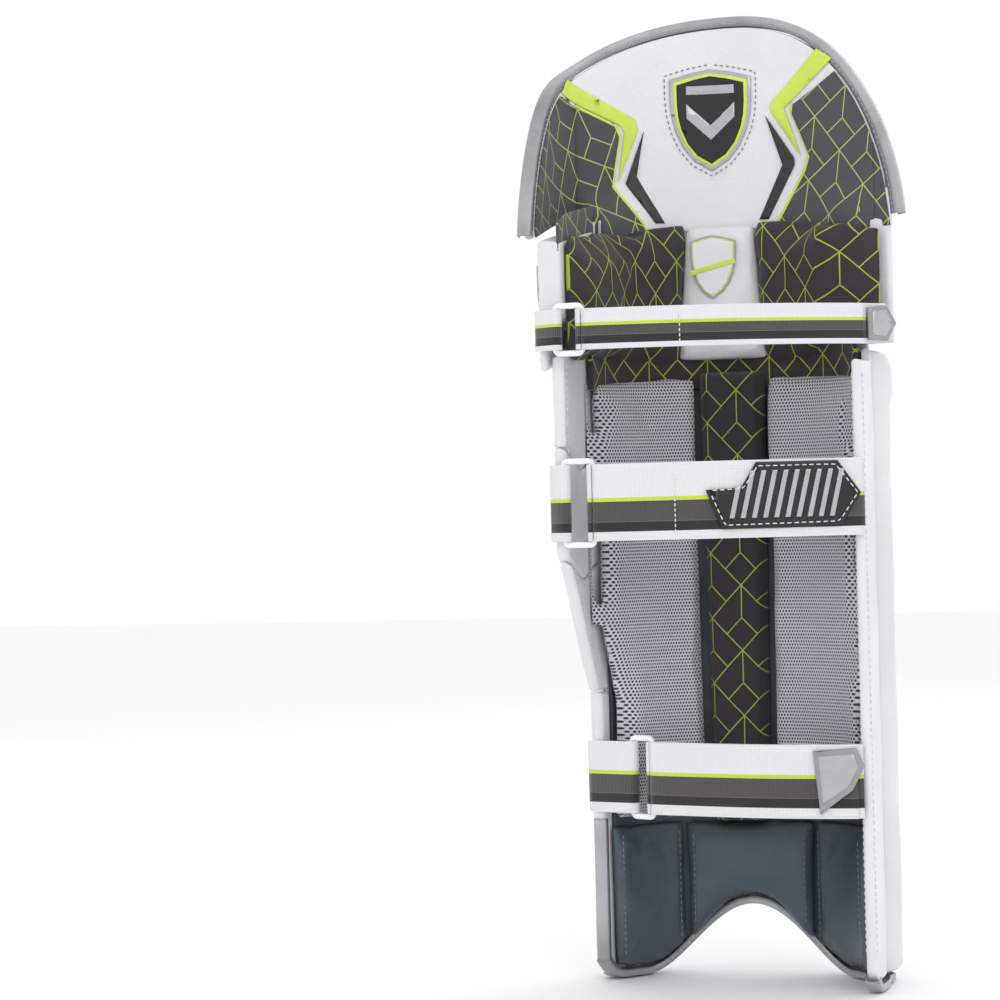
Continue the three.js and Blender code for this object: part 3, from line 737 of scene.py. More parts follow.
def build_shin_front():
    knuckle = bump_between(9, 33, 4)
    for i in range(7):
        left, right = SHIN_SEAMS[i], SHIN_SEAMS[i + 1]
        middle = 1 < i < 5
        low = (lambda u: instep_top(u) + 0.5) if middle else base_top
        crown = roll_crown(3.4, 11.5, 21.5, i, lambda u, z: 0.14 * knuckle(shin_top(u) - z))
        panel(
            f"shin_roll_cover_{i + 1}", shin_line, (left + 0.2, right - 0.2), (low, shin_top), crown, 3.4,
            white_leather, "shin", rim=(1.6, 6.0), mid=3.6, step=3.2, stands_for=[f"shin_roll_{i + 1}"],
            fill=0.9,
        )
    rows, seams = [], SHIN_SEAMS[1:-1]
    for u in seams:
        low = instep_top(u) if abs(u) < 20 else base_top(u)
        z = np.arange(low + 2, shin_top(u) - 6, 4)
        rows.append((shin_line, [(u, h) for h in z], 12.1))
        seam_ends = (u - 1.3, u + 1.3)
        name = f"shin_seam_{seams.index(u) + 1}"
        panel(name, shin_line, seam_ends, (low + 1, shin_top(u) - 5), 12.0, 9.5, seam_grey, "shin",
              rim=0.5, step=6)
    stitches("shin_seam_stitching", rows, grey_thread, "shin", 3.0, 1.3, 0.8, slot="silver_binding")


def build_instep():
    bowl = lambda u, z, s, t: 20.2 - 11.5 * (np.abs(u) / 50) ** 2 + 0.4 * ripple(u, z, 31, 60)
    panel("instep_cover", shin_line, (-49.6, 49.6), (base_top, lambda u: instep_top(u) - 0.5), bowl, 0.5,
          white_leather, "shin", rim=(4, 4), mid=5.0, step=4, stands_for=["instep_panel"], fill=0.8)
    sides = [[(side * 45.5, z) for z in np.linspace(28, 108, 20)] for side in (-1, 1)]
    rows = [(shin_line, path, 10.9) for path in sides]
    stitches("instep_stitching", rows, white_thread, "shin")


def shield_outline(u0, z0, width, height, grow=0.0):
    """A plain heater shield: flat top with small shoulders, curved sides meeting in a point."""
    half, tall = width / 2 + grow, height / 2 + grow
    right = [
        (0.0, 1.0), (0.5, 0.93), (1.0, 0.82), (1.0, 0.4), (0.97, 0.1), (0.88, -0.2), (0.7, -0.52),
        (0.42, -0.8), (0.0, -1.0),
    ]
    full = right + [(-x, y) for x, y in right[-2:0:-1]]
    return [(u0 + x * half, z0 + y * tall) for x, y in full]


def badge(name, line, u0, z0, width, height, low, out, body, stands_for):
    """A moulded shield: silver rim, yellow-green border, black field, plain silver chevron and bar."""
    step = lambda rise: low + out * rise
    layers = (("rim", 0, 0, 1.2, badge_silver), ("border", 0.045, 1.2, 1.7, neon_leather),
              ("field", 0.085, 1.7, 2.1, badge_black))
    for part, inset, low_step, high_step, look in layers:
        outline = shield_outline(u0, z0, width, height, -inset * width)
        applique(f"{name}_{part}", line, outline, step(low_step), step(high_step), look, body,
                 stands_for=stands_for if part == "rim" else (), slot="badge")
    chevron = [(-0.3, 0.02), (0, -0.2), (0.3, 0.02), (0.3, 0.17), (0, -0.05), (-0.3, 0.17)]
    bar = [(-0.3, 0.25), (0.3, 0.25), (0.3, 0.34), (-0.3, 0.34)]
    for part, shape in (("chevron", chevron), ("bar", bar)):
        corners = [(u0 + a * width, z0 + b * height) for a, b in shape]
        applique(f"{name}_{part}", line, corners, step(2.1), step(2.5), badge_silver, body, slot="badge")


def fold_strip(name, line, path, low_offset, high_offset, width, look, body, clamp=None, **extra):
    """Binding tape folded over an edge: path is the edge's (u, z, du, dz) with the inward direction."""
    profile = []
    for k in range(13):
        angle = math.pi * k / 12
        profile.append((1 - math.sin(angle), lerp(low_offset, high_offset, (1 - math.cos(angle)) / 2)))
    outer = [(width, low_offset)] + [(p * 1.5, o) for p, o in profile] + [(width, high_offset)]
    inner = [(w + (0.9 if 0 < k < len(outer) - 1 else 0), lerp(o, (low_offset + high_offset) / 2, 0.12))
             for k, (w, o) in enumerate(outer)]
    grids, plans = [], []
    for side in (outer, inner):
        rows = []
        plan = []
        for u, z, du, dz in path:
            for depth, offset in side:
                uu, zz = u + du * depth, z + dz * depth
                offset = clamp(u, offset) if clamp else offset
                x, y = line.at(uu, offset, zz)
                rows.append((x, y, zz))
                plan.append((uu, zz, offset))
        grids.append(np.array(rows).reshape(len(path), len(side), 3))
        plans.append(plan)
    points, faces = closed_grid(*grids)
    return make(name, points, faces, np.concatenate(plans), look, body, **extra)


def edge_path(curve, inward=1):
    """(u, z) points with their inward unit normals, for a binding."""
    curve = np.array(curve, float)
    tangent = np.gradient(curve, axis=0)
    tangent /= np.maximum(np.hypot(*tangent.T), 1e-9)[:, None]
    normal = np.stack([-tangent[:, 1], tangent[:, 0]], -1) * inward
    return [(*p, *n) for p, n in zip(curve, normal)]


def build_base_binding():
    us = np.concatenate([
        np.linspace(-156.5, -110, 30), np.linspace(-109, 109, 140), np.linspace(110, 121.5, 14),
    ])
    curve = [(u, base_line(u)) for u in us]

    def thinner_at_ends(u, offset):
        """The tape is wide round the rolls and thin round the side sheets."""
        share = float(smooth(abs(u), 104, 112))
        return lerp(offset, 1.0 + (offset - 3.2) * 0.55, share)

    fold_strip(
        "base_tape", shin_line, edge_path(curve), -6.0, 12.5, 5.6, silver_tape, "shin", thinner_at_ends,
        stands_for=["base_binding"],
    )
    face = [(u, z + 4.2) for u, z in curve if abs(u) < 103]
    rows = [(shin_line, face, offset) for offset in (12.6, -6.1)]
    stitches("base_tape_stitching", rows, silver_thread, "shin", 2.6, 1.4, 0.7)
    edge = [(121.2, z) for z in np.linspace(13, 112, 30)]
    fold_strip("side_edge_tape", shin_line, edge_path(edge), -3.4, 5.8, 5.0, silver_tape, "shin")


# ---- Wings ----------------------------------------------------------------------------------------
def build_wings():
    def vee(z_at_ends, tip):
        return lambda u: lerp(z_at_ends, tip, 1 - np.abs(np.clip((u - 147) / 40, -1, 1)))

    top = lambda u: 442 - 14 * (u - FACE_HALF) / 80
    seams = [fixed(200), vee(293, 277), vee(367, 351), top]
    names = ["lower", "middle", "upper"]
    rows = []
    for i, name in enumerate(names):
        low, high = seams[i], seams[i + 1]
        gap = 0.5
        puff = lambda u, z, s, t, k=i: 5.4 + dome(s, t) + 0.3 * ripple(u, z, 40 + k, 50)
        panel(
            f"wing_cover_{name}", shin_line, (FACE_HALF + 0.5, wing_edge),
            (lambda u, f=low: f(u) + gap, lambda u, f=high: f(u) - gap), puff, -2.8, white_leather, "shin",
            rim=(2.5, 2.2), mid=1.5, step=4, stands_for=[f"outer_wing_{name}"], fill=0.7,
        )
        if i:
            line = [
                (u, low(u))
                for u in np.linspace(110, min(186, wing_edge(low(147))) - 1, 40)
            ]
            rows += [(shin_line, [(u, z + d) for u, z in line], 5.7) for d in (3.4, -3.4)]
    edge = [(wing_edge(z) - 5, z) for z in np.linspace(206, 424, 90)]
    rows += [(shin_line, edge, 5.0), (shin_line, edge, -2.9)]
    stitches("wing_stitching", rows, white_thread, "shin")
    panel(
        "side_strip_cover", shin_line, (FACE_HALF + 0.5, 119.6),
        (lambda u: base_top(u) + 0.6, fixed(199)), rumpled(5.2, 51, 40), -2.6, white_leather, "shin",
        rim=2.5, mid=1.2, step=4, stands_for=["outer_side_strip"], fill=0.6,
    )
    rows = [(shin_line, [(116, z) for z in range(24, 196, 4)], 5.4)]
    panel(
        "inner_edge_cover", shin_line, (-FACE_HALF - 49.5, -FACE_HALF - 0.6),
        (lambda u: base_top(u) + 0.6, lambda u: 429 - 9 * smooth(-u, 108, 122)), rumpled(3.6, 52, 45),
        -2.6, white_leather, "shin", rim=2.5, mid=0.6, step=4.5, stands_for=["inner_wing"], fill=0.6,
    )
    for offset in (3.9, -2.9):
        rows += [(shin_line, [(-152, z) for z in range(26, 416, 4)], offset)]
    rows += [(shin_line, [(-143, z) for z in range(26, 416, 4)], -2.9)]
    stitches("side_stitching", rows, white_thread, "shin")


# ---- Leg side of the shin -------------------------------------------------------------------------
STRIP_MIDDLE, STRIP_LOW, STRIP_HIGH = 5, 108, 414
strip_half = lambda z: lerp(20, 24, (z - STRIP_LOW) / (STRIP_HIGH - STRIP_LOW))


def bolster_face(middle, end, depth=20):
    return lambda u: -4 - lerp(depth, 9, smooth(np.abs((u - middle) / (end - middle)), 0.6, 1))


def scallop(u):
    """The mesh's own lower hem, gathered in scallops 13 mm wide."""
    return STRIP_LOW - 3.5 + 3.5 * np.abs(np.sin(np.pi * u / 13))


def quilt(u, z, face, seed):
    """A stuffed face, lightly rumpled."""
    return face(u) + 0.55 * ripple(u, z, seed, 38) + 0.25 * ripple(u, z, seed + 100, 14)


def build_bolsters():
    outer_end = lambda z: np.minimum(wing_edge(z) - 5, FACE_HALF + 38)
    sides = {
        "outer": (lambda z: STRIP_MIDDLE + strip_half(z) - 1.2, outer_end, bolster_face(5, 145)),
        "inner": (fixed(-138), lambda z: STRIP_MIDDLE - strip_half(z) + 1.2, bolster_face(5, -138)),
    }
    for k, (side, (left, right, face)) in enumerate(sides.items()):
        shape = lambda u, z, s, t, f=face, n=k: quilt(u, z, f, 60 + n) + 3.0
        pad = panel(f"mesh_pad_{side}", shin_line, (left, right), (scallop, fixed(STRIP_HIGH + 3)),
                    -4.2, shape, mesh_cloth, "shin", rim=(12, 9), mid=-4.6, step=3.5,
                    stands_for=[f"mesh_bolster_{side}"], fill=0.75)
        swell(pad, shin_line, 0.006, 0.005)
    face = rumpled(-22.0, 70, 30, 0.4)
    panel(
        "centre_strip_cover", shin_line,
        (lambda z: STRIP_MIDDLE - strip_half(z) + 0.2, lambda z: STRIP_MIDDLE + strip_half(z) - 0.2),
        (fixed(STRIP_LOW - 2), fixed(STRIP_HIGH + 4)), -4.2, face, strip_cloth, "shin", rim=(7, 5),
        mid=-4.6, step=3.5, stands_for=["centre_strip"], fill=0.7,
    )


def build_ankle_lining():
    panels = [("inner", -140, -48, 11), ("centre", -48, 48, 15), ("outer", 48, 116, 11)]
    rows = []
    for k, (side, left, right, depth) in enumerate(panels):
        stuffed = lambda s, t, d=depth: -2 - d * (0.72 + 0.28 * dome(s, t))
        face = lambda u, z, s, t, n=k, f=stuffed: f(s, t) + 0.4 * ripple(u, z, 80 + n, 45)
        pad = panel(
            f"ankle_pad_{side}", shin_line, (left - 0.8, right + 0.8),
            (lambda u: base_top(u) - 0.5, fixed(108)), -4.2, face, slate, "shin", rim=(8, 8), mid=-4.6,
            step=4, stands_for=[f"ankle_lining_{side}"], fill=0.8,
        )
        swell(pad, shin_line, 0.0035, 0.002)
        for u in (left + 5.5, right - 5.5):
            low = base_top(u) + 8
            rows.append((shin_line, [(u, z) for z in np.arange(low, 103, 4)], -4 - 0.70 * depth))
    stitches("ankle_lining_stitching", rows, grey_thread, "shin", 3.0, 1.4, 0.8, slot="slate_lining")


# ---- Knee -----------------------------------------------------------------------------------------
TUFTS = [-64, -29, 7, 44, 80]


def build_knee_front():
    dots = []
    for i, name in enumerate(("lower", "middle", "upper")):
        low, high = knee_seam(i), knee_seam(i + 1)
        tuft_z = lambda u: (low(u) + high(u)) / 2

        def outer(u, z, s, t, k=i):
            crown = 9.5 + 17.5 * np.sqrt(np.maximum(1 - (2 * t - 1) ** 2, 0)) ** 0.85
            sink = sum(4.2 * np.exp(-(((u - a) ** 2 + (z - tuft_z(u)) ** 2) / 22.0)) for a in TUFTS)
            pull = sum(1.2 * np.exp(-(((u - a) / 5) ** 2)) for a in TUFTS)
            return crown - sink - pull + 0.45 * ripple(u, z, 90 + k, 42)

        panel(
            f"knee_roll_cover_{name}", knee_line, KNEE_FACE,
            (lambda u: low(u) + 0.5, lambda u: high(u) - 0.5), outer, 0.3, white_leather, "knee",
            rim=(13, 2.0), mid=2.0, step=2.6, stands_for=[f"knee_roll_{name}"], fill=0.85,
        )
        for a in TUFTS:
            z = tuft_z(a)
            dots.append((knee_line, [(a - 2.6, z - 0.8), (a - 1.2, z + 0.8)], 21.6))
            dots.append((knee_line, [(a + 1.2, z + 0.8), (a + 2.6, z - 0.8)], 21.6))
    stitches("knee_tufts", dots, grey_thread, "knee", 2.0, 0.05, 1.3, slot="white_leather")
    rows = []
    for i in (1, 2):
        seam = knee_seam(i)
        rows.append((knee_line, [(u, seam(u)) for u in np.linspace(-92, 100, 60)], 10.2))
        panel(
            f"knee_seam_{i}", knee_line, (-93, 101),
            (lambda u, f=seam: f(u) - 1.1, lambda u, f=seam: f(u) + 1.1), 9.9, 7.5, white_leather, "knee",
            rim=0.5, step=5,
        )
    stitches("knee_seam_stitching", rows, grey_thread, "knee", 2.8, 1.3, 0.8, slot="white_leather")


def build_knee_sides():
    panel("knee_inner_cover", knee_line, (-117.5, KNEE_FACE[0] - 0.6), (fixed(432.5), fixed(518.5)),
          rumpled(6.4, 110, 30), 0.3, white_leather, "knee", rim=3, mid=3, step=4,
          stands_for=["knee_inner_panel"], fill=0.6)
    drop = lambda u: 15 * (u - FACE_HALF) / 84
    wing = lambda u, z, s, t: 12.4 + 0.5 * dome(s, t) + 0.2 * ripple(u, z, 111, 50)
    inner = lambda u, z, s, t: lerp(7.5, -2.7, smooth(z, 449, 452) * smooth(u, 114, 116))
    panel(
        "knee_wing_cover", shin_line, (FACE_HALF + 0.2, FACE_HALF + 83.7),
        (lambda u: 432.4 - drop(u), lambda u: 519.5 - drop(u)), wing, inner, white_leather, "knee",
        rim=(3, 3), mid=9.8, step=3.2, stands_for=["knee_wing"], fill=0.6,
    )
    rise = lambda u: 519 - drop(u) + 11 + 5 * smooth(-u, -196, -165)
    # A lattice-cloth gusset behind the gap between the knee wing and the flap. Its dark cloth also stands in
    # for the shade in that gap, so from outside it shows as a painted shadow line.
    panel(
        "knee_wing_collar", shin_line, (FACE_HALF + 6, FACE_HALF + 82), (lambda u: 512 - drop(u), rise),
        -0.4, -2.2, charcoal, "knee", rim=0.8, step=4, slot="lattice_fabric",
    )
    edge = [(u, 437 - drop(u)) for u in np.linspace(FACE_HALF + 13, FACE_HALF + 79, 30)]
    back = [(FACE_HALF + 79, z) for z in np.linspace(424, 500, 26)]
    top = [(u, 515 - drop(u)) for u in np.linspace(FACE_HALF + 13, FACE_HALF + 79, 30)]
    stitches("knee_wing_stitching", [(shin_line, p, 12.6) for p in (edge, back, top)], white_thread, "knee")
    badge("knee_side_badge", shin_line, 170, 470, 34, 45, 12.9, 1, "knee", ["knee_wing_badge"])


CUP_MIDDLE, CUP_LOW, CUP_HIGH = 11, 424, 522
cup_half = lambda z: lerp(33, 25, (z - CUP_LOW) / (CUP_HIGH - CUP_LOW))


def build_knee_cushions():
    pull = lambda u, z: 1.4 * np.exp(-(((z - CUP_HIGH + 6) / 5) ** 2))
    face = lambda u, z, s, t: -19.5 - 1.5 * np.sin(np.pi * s) + pull(u, z) + 0.4 * ripple(u, z, 120, 28)
    ends = (lambda z: CUP_MIDDLE - cup_half(z) - 0.5, lambda z: CUP_MIDDLE + cup_half(z) + 0.5)
    pad = panel(
        "knee_cup_cover", knee_line, ends, (fixed(CUP_LOW + 2), fixed(CUP_HIGH - 2)), -4.2, face,
        white_leather, "knee", rim=(8, 9), mid=-4.6, step=3, stands_for=["knee_centre_pad"], fill=0.85,
    )
    swell(pad, knee_line, 0.004, 0.004)
    low = lambda u: 424 + 10 * smooth(-u, 50, 80)
    top = lambda u: CUP_HIGH + 1 - 12 * (np.abs(u) / 175) ** 2
    sides = {
        "outer": (lambda z: CUP_MIDDLE + cup_half(z) - 3.5, fixed(186), bolster_face(5, 187, 20)),
        "inner": (fixed(-116), lambda z: CUP_MIDDLE - cup_half(z) + 3.5, bolster_face(5, -118, 20)),
    }
    for k, (side, (left, right, shape)) in enumerate(sides.items()):
        face = lambda u, z, s, t, f=shape, n=k: quilt(u, z, f, 125 + n) + 4.0
        pad = panel(
            f"knee_pad_{side}", knee_line, (left, right), (low, top), -4.2, face, knee_cloth, "knee",
            rim=(12, 14), mid=-4.6, step=3.2, stands_for=[f"knee_bolster_{side}"], fill=0.85,
        )
        swell(pad, knee_line, 0.005, 0.006)
    panel(
        "knee_board_cover", knee_line, (-97.6, 105.6),
        (lambda u: knee_seam(0)(u) + 2.2, lambda u: knee_seam(3)(u) - 0.2), -0.5, -2.9, canvas, "knee",
        rim=0.8, step=6, stands_for=["knee_backing"],
    )
    layers = {
        "shield": (36, 44, 1.1, silver_tape),
        "shield_line": (33.4, 41.4, 0.5, neon_leather),
        "shield_field": (31.6, 39.6, 0.5, white_leather),
    }
    low = -23.3
    for name, (width, height, thick, look) in layers.items():
        outline = shield_outline(15, 490, width, height)
        applique(
            f"knee_cup_{name}", knee_line, outline, low, low - thick, look, "knee", grid=(4, 4),
            bevel=0.2, slot="badge",
        )
        low -= thick
    bar = [(-3, 492), (33, 484), (34, 487.5), (-2, 495.5)]
    applique("knee_cup_bar", knee_line, bar, low, low - 0.4, neon_leather, "knee", bevel=0.2, slot="badge")


# ---- Top flap -------------------------------------------------------------------------------------
def build_flap_front():
    knuckle = bump_between(6, 24, 4)
    rows = []
    for i in range(7):
        left = max((i - 3.5) * FLAP_PITCH, -FLAP_INNER + 12.3) + 0.3
        right = (i - 2.5) * FLAP_PITCH - 0.3
        crown = roll_crown(0.2, 8.2, 16.2, 130 + i, lambda u, z: 0.28 * knuckle(z - flap_bottom(u)))
        panel(
            f"flap_roll_cover_{i + 1}", flap_line, (left, right),
            (flap_bottom, lambda u: flap_outline(u, 8.2)), crown, 0.2, white_leather, "top_flap",
            rim=(1.5, 6.0), mid=0.6, step=3.4, stands_for=[f"flap_roll_{i + 1}"], fill=0.85,
        )
        u = (i - 2.5) * FLAP_PITCH
        top = flap_outline(u, 8.2)
        rows.append((flap_line, [(u, z) for z in np.arange(548, top - 4, 4)], 8.9))
        panel(f"flap_seam_{i + 1}", flap_line, (u - 1.2, u + 1.2), (flap_bottom(u) + 2, top - 4), 8.7, 6.0,
              seam_grey if i < 6 else white_leather, "top_flap", rim=0.5, step=6, slot="silver_binding")
    stitches("flap_seam_stitching", rows, grey_thread, "top_flap", 3.0, 1.3, 0.8, slot="silver_binding")
    low = lambda u: 526 - 21 * (u - 119) / 81
    panel(
        "flap_side_cover", flap_line, (3.5 * FLAP_PITCH + 0.5, 191.5),
        (lambda u: low(u) + 0.4, lambda u: flap_outline(u, 7.5)), rumpled(3.9, 140, 50), -2.9,
        white_leather, "top_flap", rim=2.5, mid=0.5, step=4, stands_for=["flap_side_panel"], fill=0.6,
    )
    hem = [(u, low(u) + 5) for u in np.linspace(123, 186, 30)]
    stitches(
        "flap_side_stitching", [(flap_line, hem, 4.2), (flap_line, hem, -3.0)], white_thread, "top_flap",
    )


def build_flap_edge():
    curve = []
    for angle in np.radians(np.linspace(-88, 88, 170)):
        half = FLAP_INNER if angle < 0 else FLAP_OUTER
        u = (half - 0.3) * math.sin(angle)
        curve.append((u, flap_outline(u, 0.0)))
    fold_strip("flap_tape", flap_line, edge_path(curve, -1), -3.0, 6.6, 7.4, silver_tape, "top_flap",
               stands_for=["flap_binding"])
    rows = []
    for offset in (6.7, -3.1):
        inner = [(p[0] + 5.4 * p[2], p[1] + 5.4 * p[3]) for p in edge_path(curve, -1)]
        rows.append((flap_line, inner, offset))
    stitches("flap_tape_stitching", rows, silver_thread, "top_flap", 2.8, 1.5, 0.7)


def across_hinge(piece):
    """Bakes the piece's placement into its mesh."""
    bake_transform(piece)


def build_flap_back():
    board = (fixed(-FLAP_INNER + 12.5), fixed(117.6))
    panel("flap_back_cover", flap_line, board, (flap_bottom, lambda u: flap_outline(u, 8.3)),
          -0.5, rumpled(-2.7, 150, 60, 0.15), white_leather, "top_flap", rim=1.0, mid=-1.6,
          step=5, stands_for=["flap_backing"])
    badge("flap_back_badge", flap_line, 16, 594, 58, 71, -3.0, -1, "top_flap", ["flap_badge"])
    around = shield_outline(16, 594, 58, 71, 3.5)
    stitches(
        "flap_badge_stitching", [(flap_line, around + around[:1], -3.1)], grey_thread, "top_flap", 2.6,
        1.6, 0.8, slot="white_leather",
    )
    hem = (fixed(517), fixed(552))
    across_hinge(panel(
        "flap_apron", apron_line, (-96, 104), hem, -2.9, -3.5, white_leather, None, rim=0.3, step=4,
    ))
    panel("flap_corner", flap_line, (fixed(-118.5), fixed(-95)), (fixed(512), fixed(538)), -0.6, -2.9,
          white_leather, "top_flap", rim=0.8, step=4)
    rim = lambda us: [(u, flap_outline(u, 9.0)) for u in us]
    outer_low = [(u, 527 - 21 * (u - 119) / 81) for u in (188.0, 165.0, 142.0, 119.0)]
    outer_edge = [(114, 605), (85, 591), (82, 584), (88, 549), (69, 523), (62, 512)]
    inner_edge = [(-44, 601), (-43, 595), (-56, 564), (-53, 555), (-34, 524), (-27, 512)]
    shapes = {
        "outer_side": (
            charcoal, flap_line,
            [(114, 605), (125, 611)] + rim(np.linspace(129, 189, 22)) + outer_low + [(114, 529)],
        ),
        "outer": (
            charcoal, apron_line, outer_edge + [(118, 512), (126, 515), (126, 525), (114, 529)],
        ),
        "inner_side": (
            charcoal_mirror, flap_line, rim(np.linspace(-116, -106, 6)) + [(-106, 512), (-118, 512)],
        ),
        "inner": (
            charcoal_mirror, apron_line,
            rim(np.linspace(-106, -77, 11)) + inner_edge + [(-106, 512)],
        ),
        "neon_outer": (
            neon_leather, flap_line,
            [(127, 614), (120, 624), (70, 596), (68, 588), (83, 553), (78, 587), (81, 592)],
        ),
        "neon_inner": (
            neon_leather, flap_line,
            [(-75, 630), (-63, 638), (-27, 603), (-27, 598), (-49, 565), (-37, 599)],
        ),
        "black_outer": (
            black_leather, apron_line, [(64, 588), (70, 556), (51, 523), (58, 523), (78, 551)],
        ),
        "black_inner": (
            black_leather, apron_line,
            [(-23, 595), (-44, 564), (-44, 559), (-24, 523), (-17, 523), (-35, 560)],
        ),
    }
    for name, edge, shift in (("outer_line", outer_edge, -1.4), ("inner_line", inner_edge, 1.4)):
        outline = [(u + shift, z + 1.4) for u, z in edge] + edge[::-1]
        shapes[name] = (neon_leather, apron_line, outline)
    for name, (look, line, outline) in shapes.items():
        body = "top_flap" if line is flap_line else None
        lift = 0.0 if body else 0.4
        piece = applique(
            f"flap_{name}", line, outline, -3.3 - lift, -4.0 - lift, look, body, grid=(5, 6), bevel=0.25,
            slot="white_leather",
        )
        if body is None:
            across_hinge(piece)


# ---- Straps ---------------------------------------------------------------------------------------
THICK, FOLD, BAR, RING_THICK = 1.5, 3.6, 4.0, 3.0


class StrapLine:
    """The strap's bow in plan, from the ring's inner bar to where it is sewn."""

    def __init__(self, sewn, bar, bulge):
        self.bar, self.bulge = np.array(bar, float), bulge
        self.chord = np.array(sewn, float) - self.bar
        self.length = float(np.hypot(*self.chord))
        self.out = np.array([self.chord[1], -self.chord[0]]) / self.length

    def at(self, distance, offset=0.0, z=None):
        s = np.asarray(distance, float) / self.length
        slope = 4 * self.bulge * (1 - 2 * s) / self.length
        scale = np.hypot(1, slope)
        bow = 4 * self.bulge * s * (1 - s)
        x, y = [self.bar[k] + self.chord[k] * s + self.out[k] * bow for k in (0, 1)]
        tx, ty = [(self.chord[k] / self.length + self.out[k] * slope) / scale for k in (0, 1)]
        return x + offset * ty, y - offset * tx


def arc(centre, ex, ey, radius, start, end, steps):
    angles = np.radians(np.linspace(start, end, steps))
    return [centre + ex * radius * math.cos(a) + ey * radius * math.sin(a) for a in angles]


def ring_piece(centre, across, outwards, width, height):
    """A rounded rectangular ring of round bar, in the plane of across and z."""
    loop = []
    w, h, r = (width - BAR) / 2, (height - BAR) / 2, 3.0
    corners = ((w - r, h - r, 0), (-w + r, h - r, 90), (-w + r, -h + r, 180), (w - r, -h + r, 270))
    for cx, cz, start in corners:
        for a in np.radians(np.linspace(start, start + 90, 7)):
            loop.append((cx + r * math.cos(a), cz + r * math.sin(a), math.cos(a), math.sin(a)))
    points, faces, sides = [], [], 12
    for x, z, nx, nz in loop:
        for k in range(sides):
            a = math.tau * k / sides
            bulk = 1 / (abs(math.cos(a)) ** 3 + abs(math.sin(a)) ** 3) ** (1 / 3)
            out, depth = BAR / 2 * bulk * math.cos(a), RING_THICK / 2 * bulk * math.sin(a)
            xy = centre + across * (x + nx * out) + outwards * depth
            points.append((xy[0], xy[1], z + nz * out))
    count = len(loop)
    for i in range(count):
        for k in range(sides):
            a, b = i * sides + k, i * sides + (k + 1) % sides
            c, d = ((i + 1) % count) * sides + (k + 1) % sides, ((i + 1) % count) * sides + k
            faces.append([a, b, c, d])
    return points, faces


def build_strap(name, body, end_body, low, high, sewn, bar, bulge, ring_width, wing, reach, look):
    strap = StrapLine(sewn, bar, bulge)
    at_bar = np.array(strap.at(0))
    outwards = np.array(strap.at(0, 1)) - at_bar
    towards = np.array([outwards[1], -outwards[0]])
    lift = lambda d: lerp(FOLD, 0.95, smooth(d, 0, 40))

    def run(start, end, side):
        return [np.array(strap.at(d, side * lift(d))) for d in np.linspace(start, end, 50)]

    fold = arc(at_bar, towards, outwards, FOLD, -75, 90, 9)
    strap_mesh(f"{name}_webbing", run(strap.length, 2, -1) + fold, low, high, THICK, look, body,
               stands_for=[f"{name}_strap"], slot="webbing")
    strap_mesh(f"{name}_webbing_return", run(0.7, reach, 1), low, high, THICK, look, end_body,
               stands_for=[f"{name}_strap_return"], slot="webbing")
    span = ring_width - BAR
    middle = at_bar + towards * span / 2
    points, faces = ring_piece(middle, towards, outwards, ring_width, high - low + 2 * BAR + 0.5)
    points = [(p[0], p[1], p[2] + (low + high) / 2) for p in points]
    make(f"{name}_ring_moulded", points, faces, points, ring_white, body, stands_for=[f"{name}_ring"])
    outer_bar = at_bar + towards * span
    loop = arc(outer_bar, towards, outwards, FOLD, 90, 270, 12)
    tail = outer_bar + towards * 6 - outwards * FOLD
    strap_mesh(
        f"{name}_anchor_webbing", [np.array(p, float) for p in wing] + loop + [tail], low, high, THICK,
        look, body, stands_for=[f"{name}_anchor"], slot="webbing",
    )
    return strap


def build_straps():
    knee_web = ribbed_webbing("knee_webbing", 27, (15.5, 17.6), (9.0, 15.5), (3.5, 9.0))
    calf_web = ribbed_webbing("calf_webbing", 51, (26.0, 28.5), (12.5, 26.0), (6.0, 12.5))
    ankle_web = ribbed_webbing("ankle_webbing", 49, (26.5, 29.0), (13.5, 26.5), (7.0, 13.5))
    edge = [shin_line.at(FACE_HALF + a, b) for a, b in ((83.6, 14.4), (85.6, 13))]
    knee = build_strap(
        "knee", "knee", "knee_strap_end", 431, 458, (-109, 56), (83, 132), 22, 22, edge, 190, knee_web,
    )
    side = shin_line.at(-FACE_HALF - 50, 0)
    sewn = (float(side[0]), float(side[1]) + 4)
    corner = [shin_line.at(FACE_HALF + a, b) for a, b in ((79.6, 7.8), (83.5, 6.5))]
    calf = build_strap(
        "calf", "shin", "calf_strap_end", 304, 355, sewn, (79, 128), 12, 24, corner, 178, calf_web,
    )
    strip = [shin_line.at(a, b) for a, b in ((120.2, 7.8), (121.8, 5))]
    ankle = build_strap(
        "ankle", "shin", "ankle_strap_end", 117, 166, sewn, (56, 68), 10, 21, strip, 146, ankle_web,
    )
    build_tabs(knee, calf, ankle)
    across = {
        "knee": (knee, 433, 456, (62,)),
        "calf": (calf, 307, 352, (54,)),
        "ankle": (ankle, 120, 163, (21, 122)),
    }
    for name, (strap, low, high, places) in across.items():
        rows = [(strap, [(d, z) for z in np.arange(low, high, 2.0)], 1.8) for d in places]
        stitches(
            f"{name}_strap_stitching", rows, white_thread, f"{name}_strap_end", 2.4, 1.0, 0.9,
            slot="webbing",
        )


